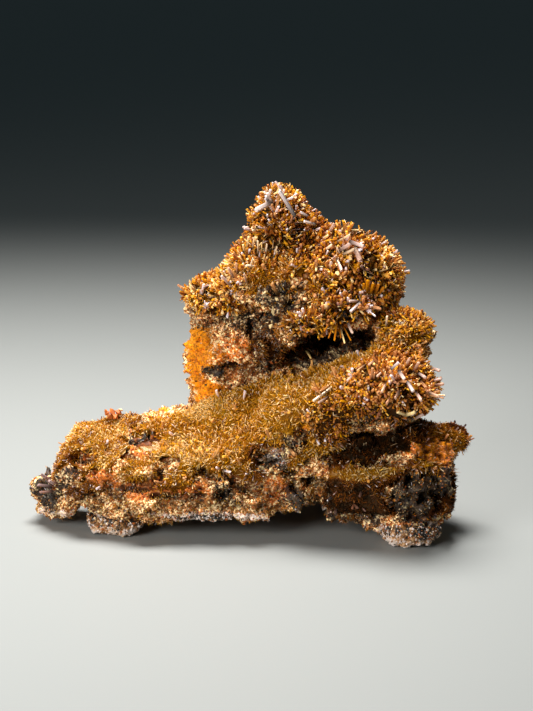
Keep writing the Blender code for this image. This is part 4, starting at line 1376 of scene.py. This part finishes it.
# Camera: tilt in degrees, distance and aim in metres, lens and sensor in mm.
CAMERA_TILT = 13
CAMERA_AWAY = 0.403
CAMERA_AIM = (0.003185, -0.002387, 0.0423)
CAMERA_LENS = 85
CAMERA_SENSOR = 36

# Half width of the floor, and how far under the specimen it lies, in metres.
FLOOR_HALF = 20.0
FLOOR_DROP = 0.00002

# Soft boxes: name, place, aim and size in metres, power in watts, spread in degrees.
SOFTBOXES = (("key softbox", (-0.07, 0.127, 0.618), (-0.075, 0.014, 0.03), (0.34, 0.26), 1.92, 75), (
    "left front fill", (-0.468, -0.461, 0.288), (0.0, 0.0, 0.04), (0.36, 0.24), 1.36, 102,
))
FLOOR_COLOUR = "#92938F"
ROOM_COLOUR = "#94B0BA"
ROOM_STRENGTH = 0.09


def softbox(name, place, aim, size, power, spread):
    """An area light that looks at a point."""
    light = bpy.data.lights.new(name, "AREA")
    light.shape = "RECTANGLE"
    light.size, light.size_y = size
    light.energy = power
    light.spread = math.radians(spread)
    lamp = bpy.data.objects.new(name, light)
    lamp.location = place
    lamp.rotation_mode = "QUATERNION"
    lamp.rotation_quaternion = (Vector(aim) - Vector(place)).to_track_quat("-Z", "Y")
    bpy.context.scene.collection.objects.link(lamp)


class SPECIMEN_OT_stage(bpy.types.Operator):
    """Camera, plain pale floor and soft studio light"""

    bl_idname = "specimen.stage"
    bl_label = "Stage"

    def execute(self, context):
        scene = context.scene
        camera = bpy.data.cameras.new("camera")
        camera.lens, camera.sensor_width = CAMERA_LENS, CAMERA_SENSOR
        camera.clip_start = 0.01
        eye = bpy.data.objects.new("camera", camera)
        tilt = math.radians(CAMERA_TILT)
        back = Vector((0, -math.cos(tilt), math.sin(tilt)))
        eye.location = Vector(CAMERA_AIM) + back * CAMERA_AWAY
        eye.rotation_mode = "QUATERNION"
        eye.rotation_quaternion = (-back).to_track_quat("-Z", "Y")
        scene.collection.objects.link(eye)
        scene.camera = eye

        paper, _, shader = new_material("paper board, matt white")
        shader.inputs["Base Color"].default_value = (*linear(FLOOR_COLOUR), 1)
        shader.inputs["Roughness"].default_value = 0.6
        sheet = bpy.data.meshes.new("floor")
        corners = [(x * FLOOR_HALF, y * FLOOR_HALF, 0) for x, y in ((-1, -1), (1, -1), (1, 1), (-1, 1))]
        sheet.from_pydata(corners, [], [(0, 1, 2, 3)])
        sheet.materials.append(paper)
        floor = bpy.data.objects.new("floor", sheet)
        floor.location.z = -FLOOR_DROP
        scene.collection.objects.link(floor)

        for row in SOFTBOXES:
            softbox(*row)
        world = bpy.data.worlds.new("studio")
        scene.world = world
        world.use_nodes = True
        background = world.node_tree.nodes["Background"]
        background.inputs[0].default_value = (*linear(ROOM_COLOUR), 1)
        background.inputs[1].default_value = ROOM_STRENGTH
        scene.view_settings.view_transform = "Standard"
        return {"FINISHED"}


OPERATORS = (
    SPECIMEN_OT_stage, SPECIMEN_OT_gossan, SPECIMEN_OT_crusts, SPECIMEN_OT_fuzz, SPECIMEN_OT_crumbs,
    SPECIMEN_OT_calcite,
)


class SPECIMEN_PT_panel(bpy.types.Panel):
    """Sizes, colours and pieces of the specimen"""

    bl_idname = "SPECIMEN_PT_panel"
    bl_label = "Vanadinite specimen"
    bl_space_type = "VIEW_3D"
    bl_region_type = "UI"
    bl_category = "Specimen"

    def draw(self, context):
        """Lists the sizes, the colours and a button for each piece."""
        for group in (context.scene.specimen_sizes, context.scene.specimen_colours):
            for name in group.bl_rna.properties.keys():
                if name not in ("rna_type", "name"):
                    self.layout.prop(group, name)
        for operator in OPERATORS:
            self.layout.operator(operator.bl_idname)


CLASSES = (SpecimenColours, SpecimenSizes, *OPERATORS, SPECIMEN_PT_panel)


def register():
    """Adds the classes and the scene's settings."""
    for item in CLASSES:
        bpy.utils.register_class(item)
    bpy.types.Scene.specimen_colours = bpy.props.PointerProperty(type=SpecimenColours)
    bpy.types.Scene.specimen_sizes = bpy.props.PointerProperty(type=SpecimenSizes)


def unregister():
    """Takes them away again."""
    del bpy.types.Scene.specimen_sizes
    del bpy.types.Scene.specimen_colours
    for item in reversed(CLASSES):
        bpy.utils.unregister_class(item)


def main():
    """Builds the stage and every piece."""
    register()
    bpy.ops.specimen.stage()
    bpy.ops.specimen.gossan()
    bpy.ops.specimen.crusts()
    bpy.ops.specimen.fuzz()
    bpy.ops.specimen.crumbs()
    bpy.ops.specimen.calcite()


if __name__ == "__main__":
    main()
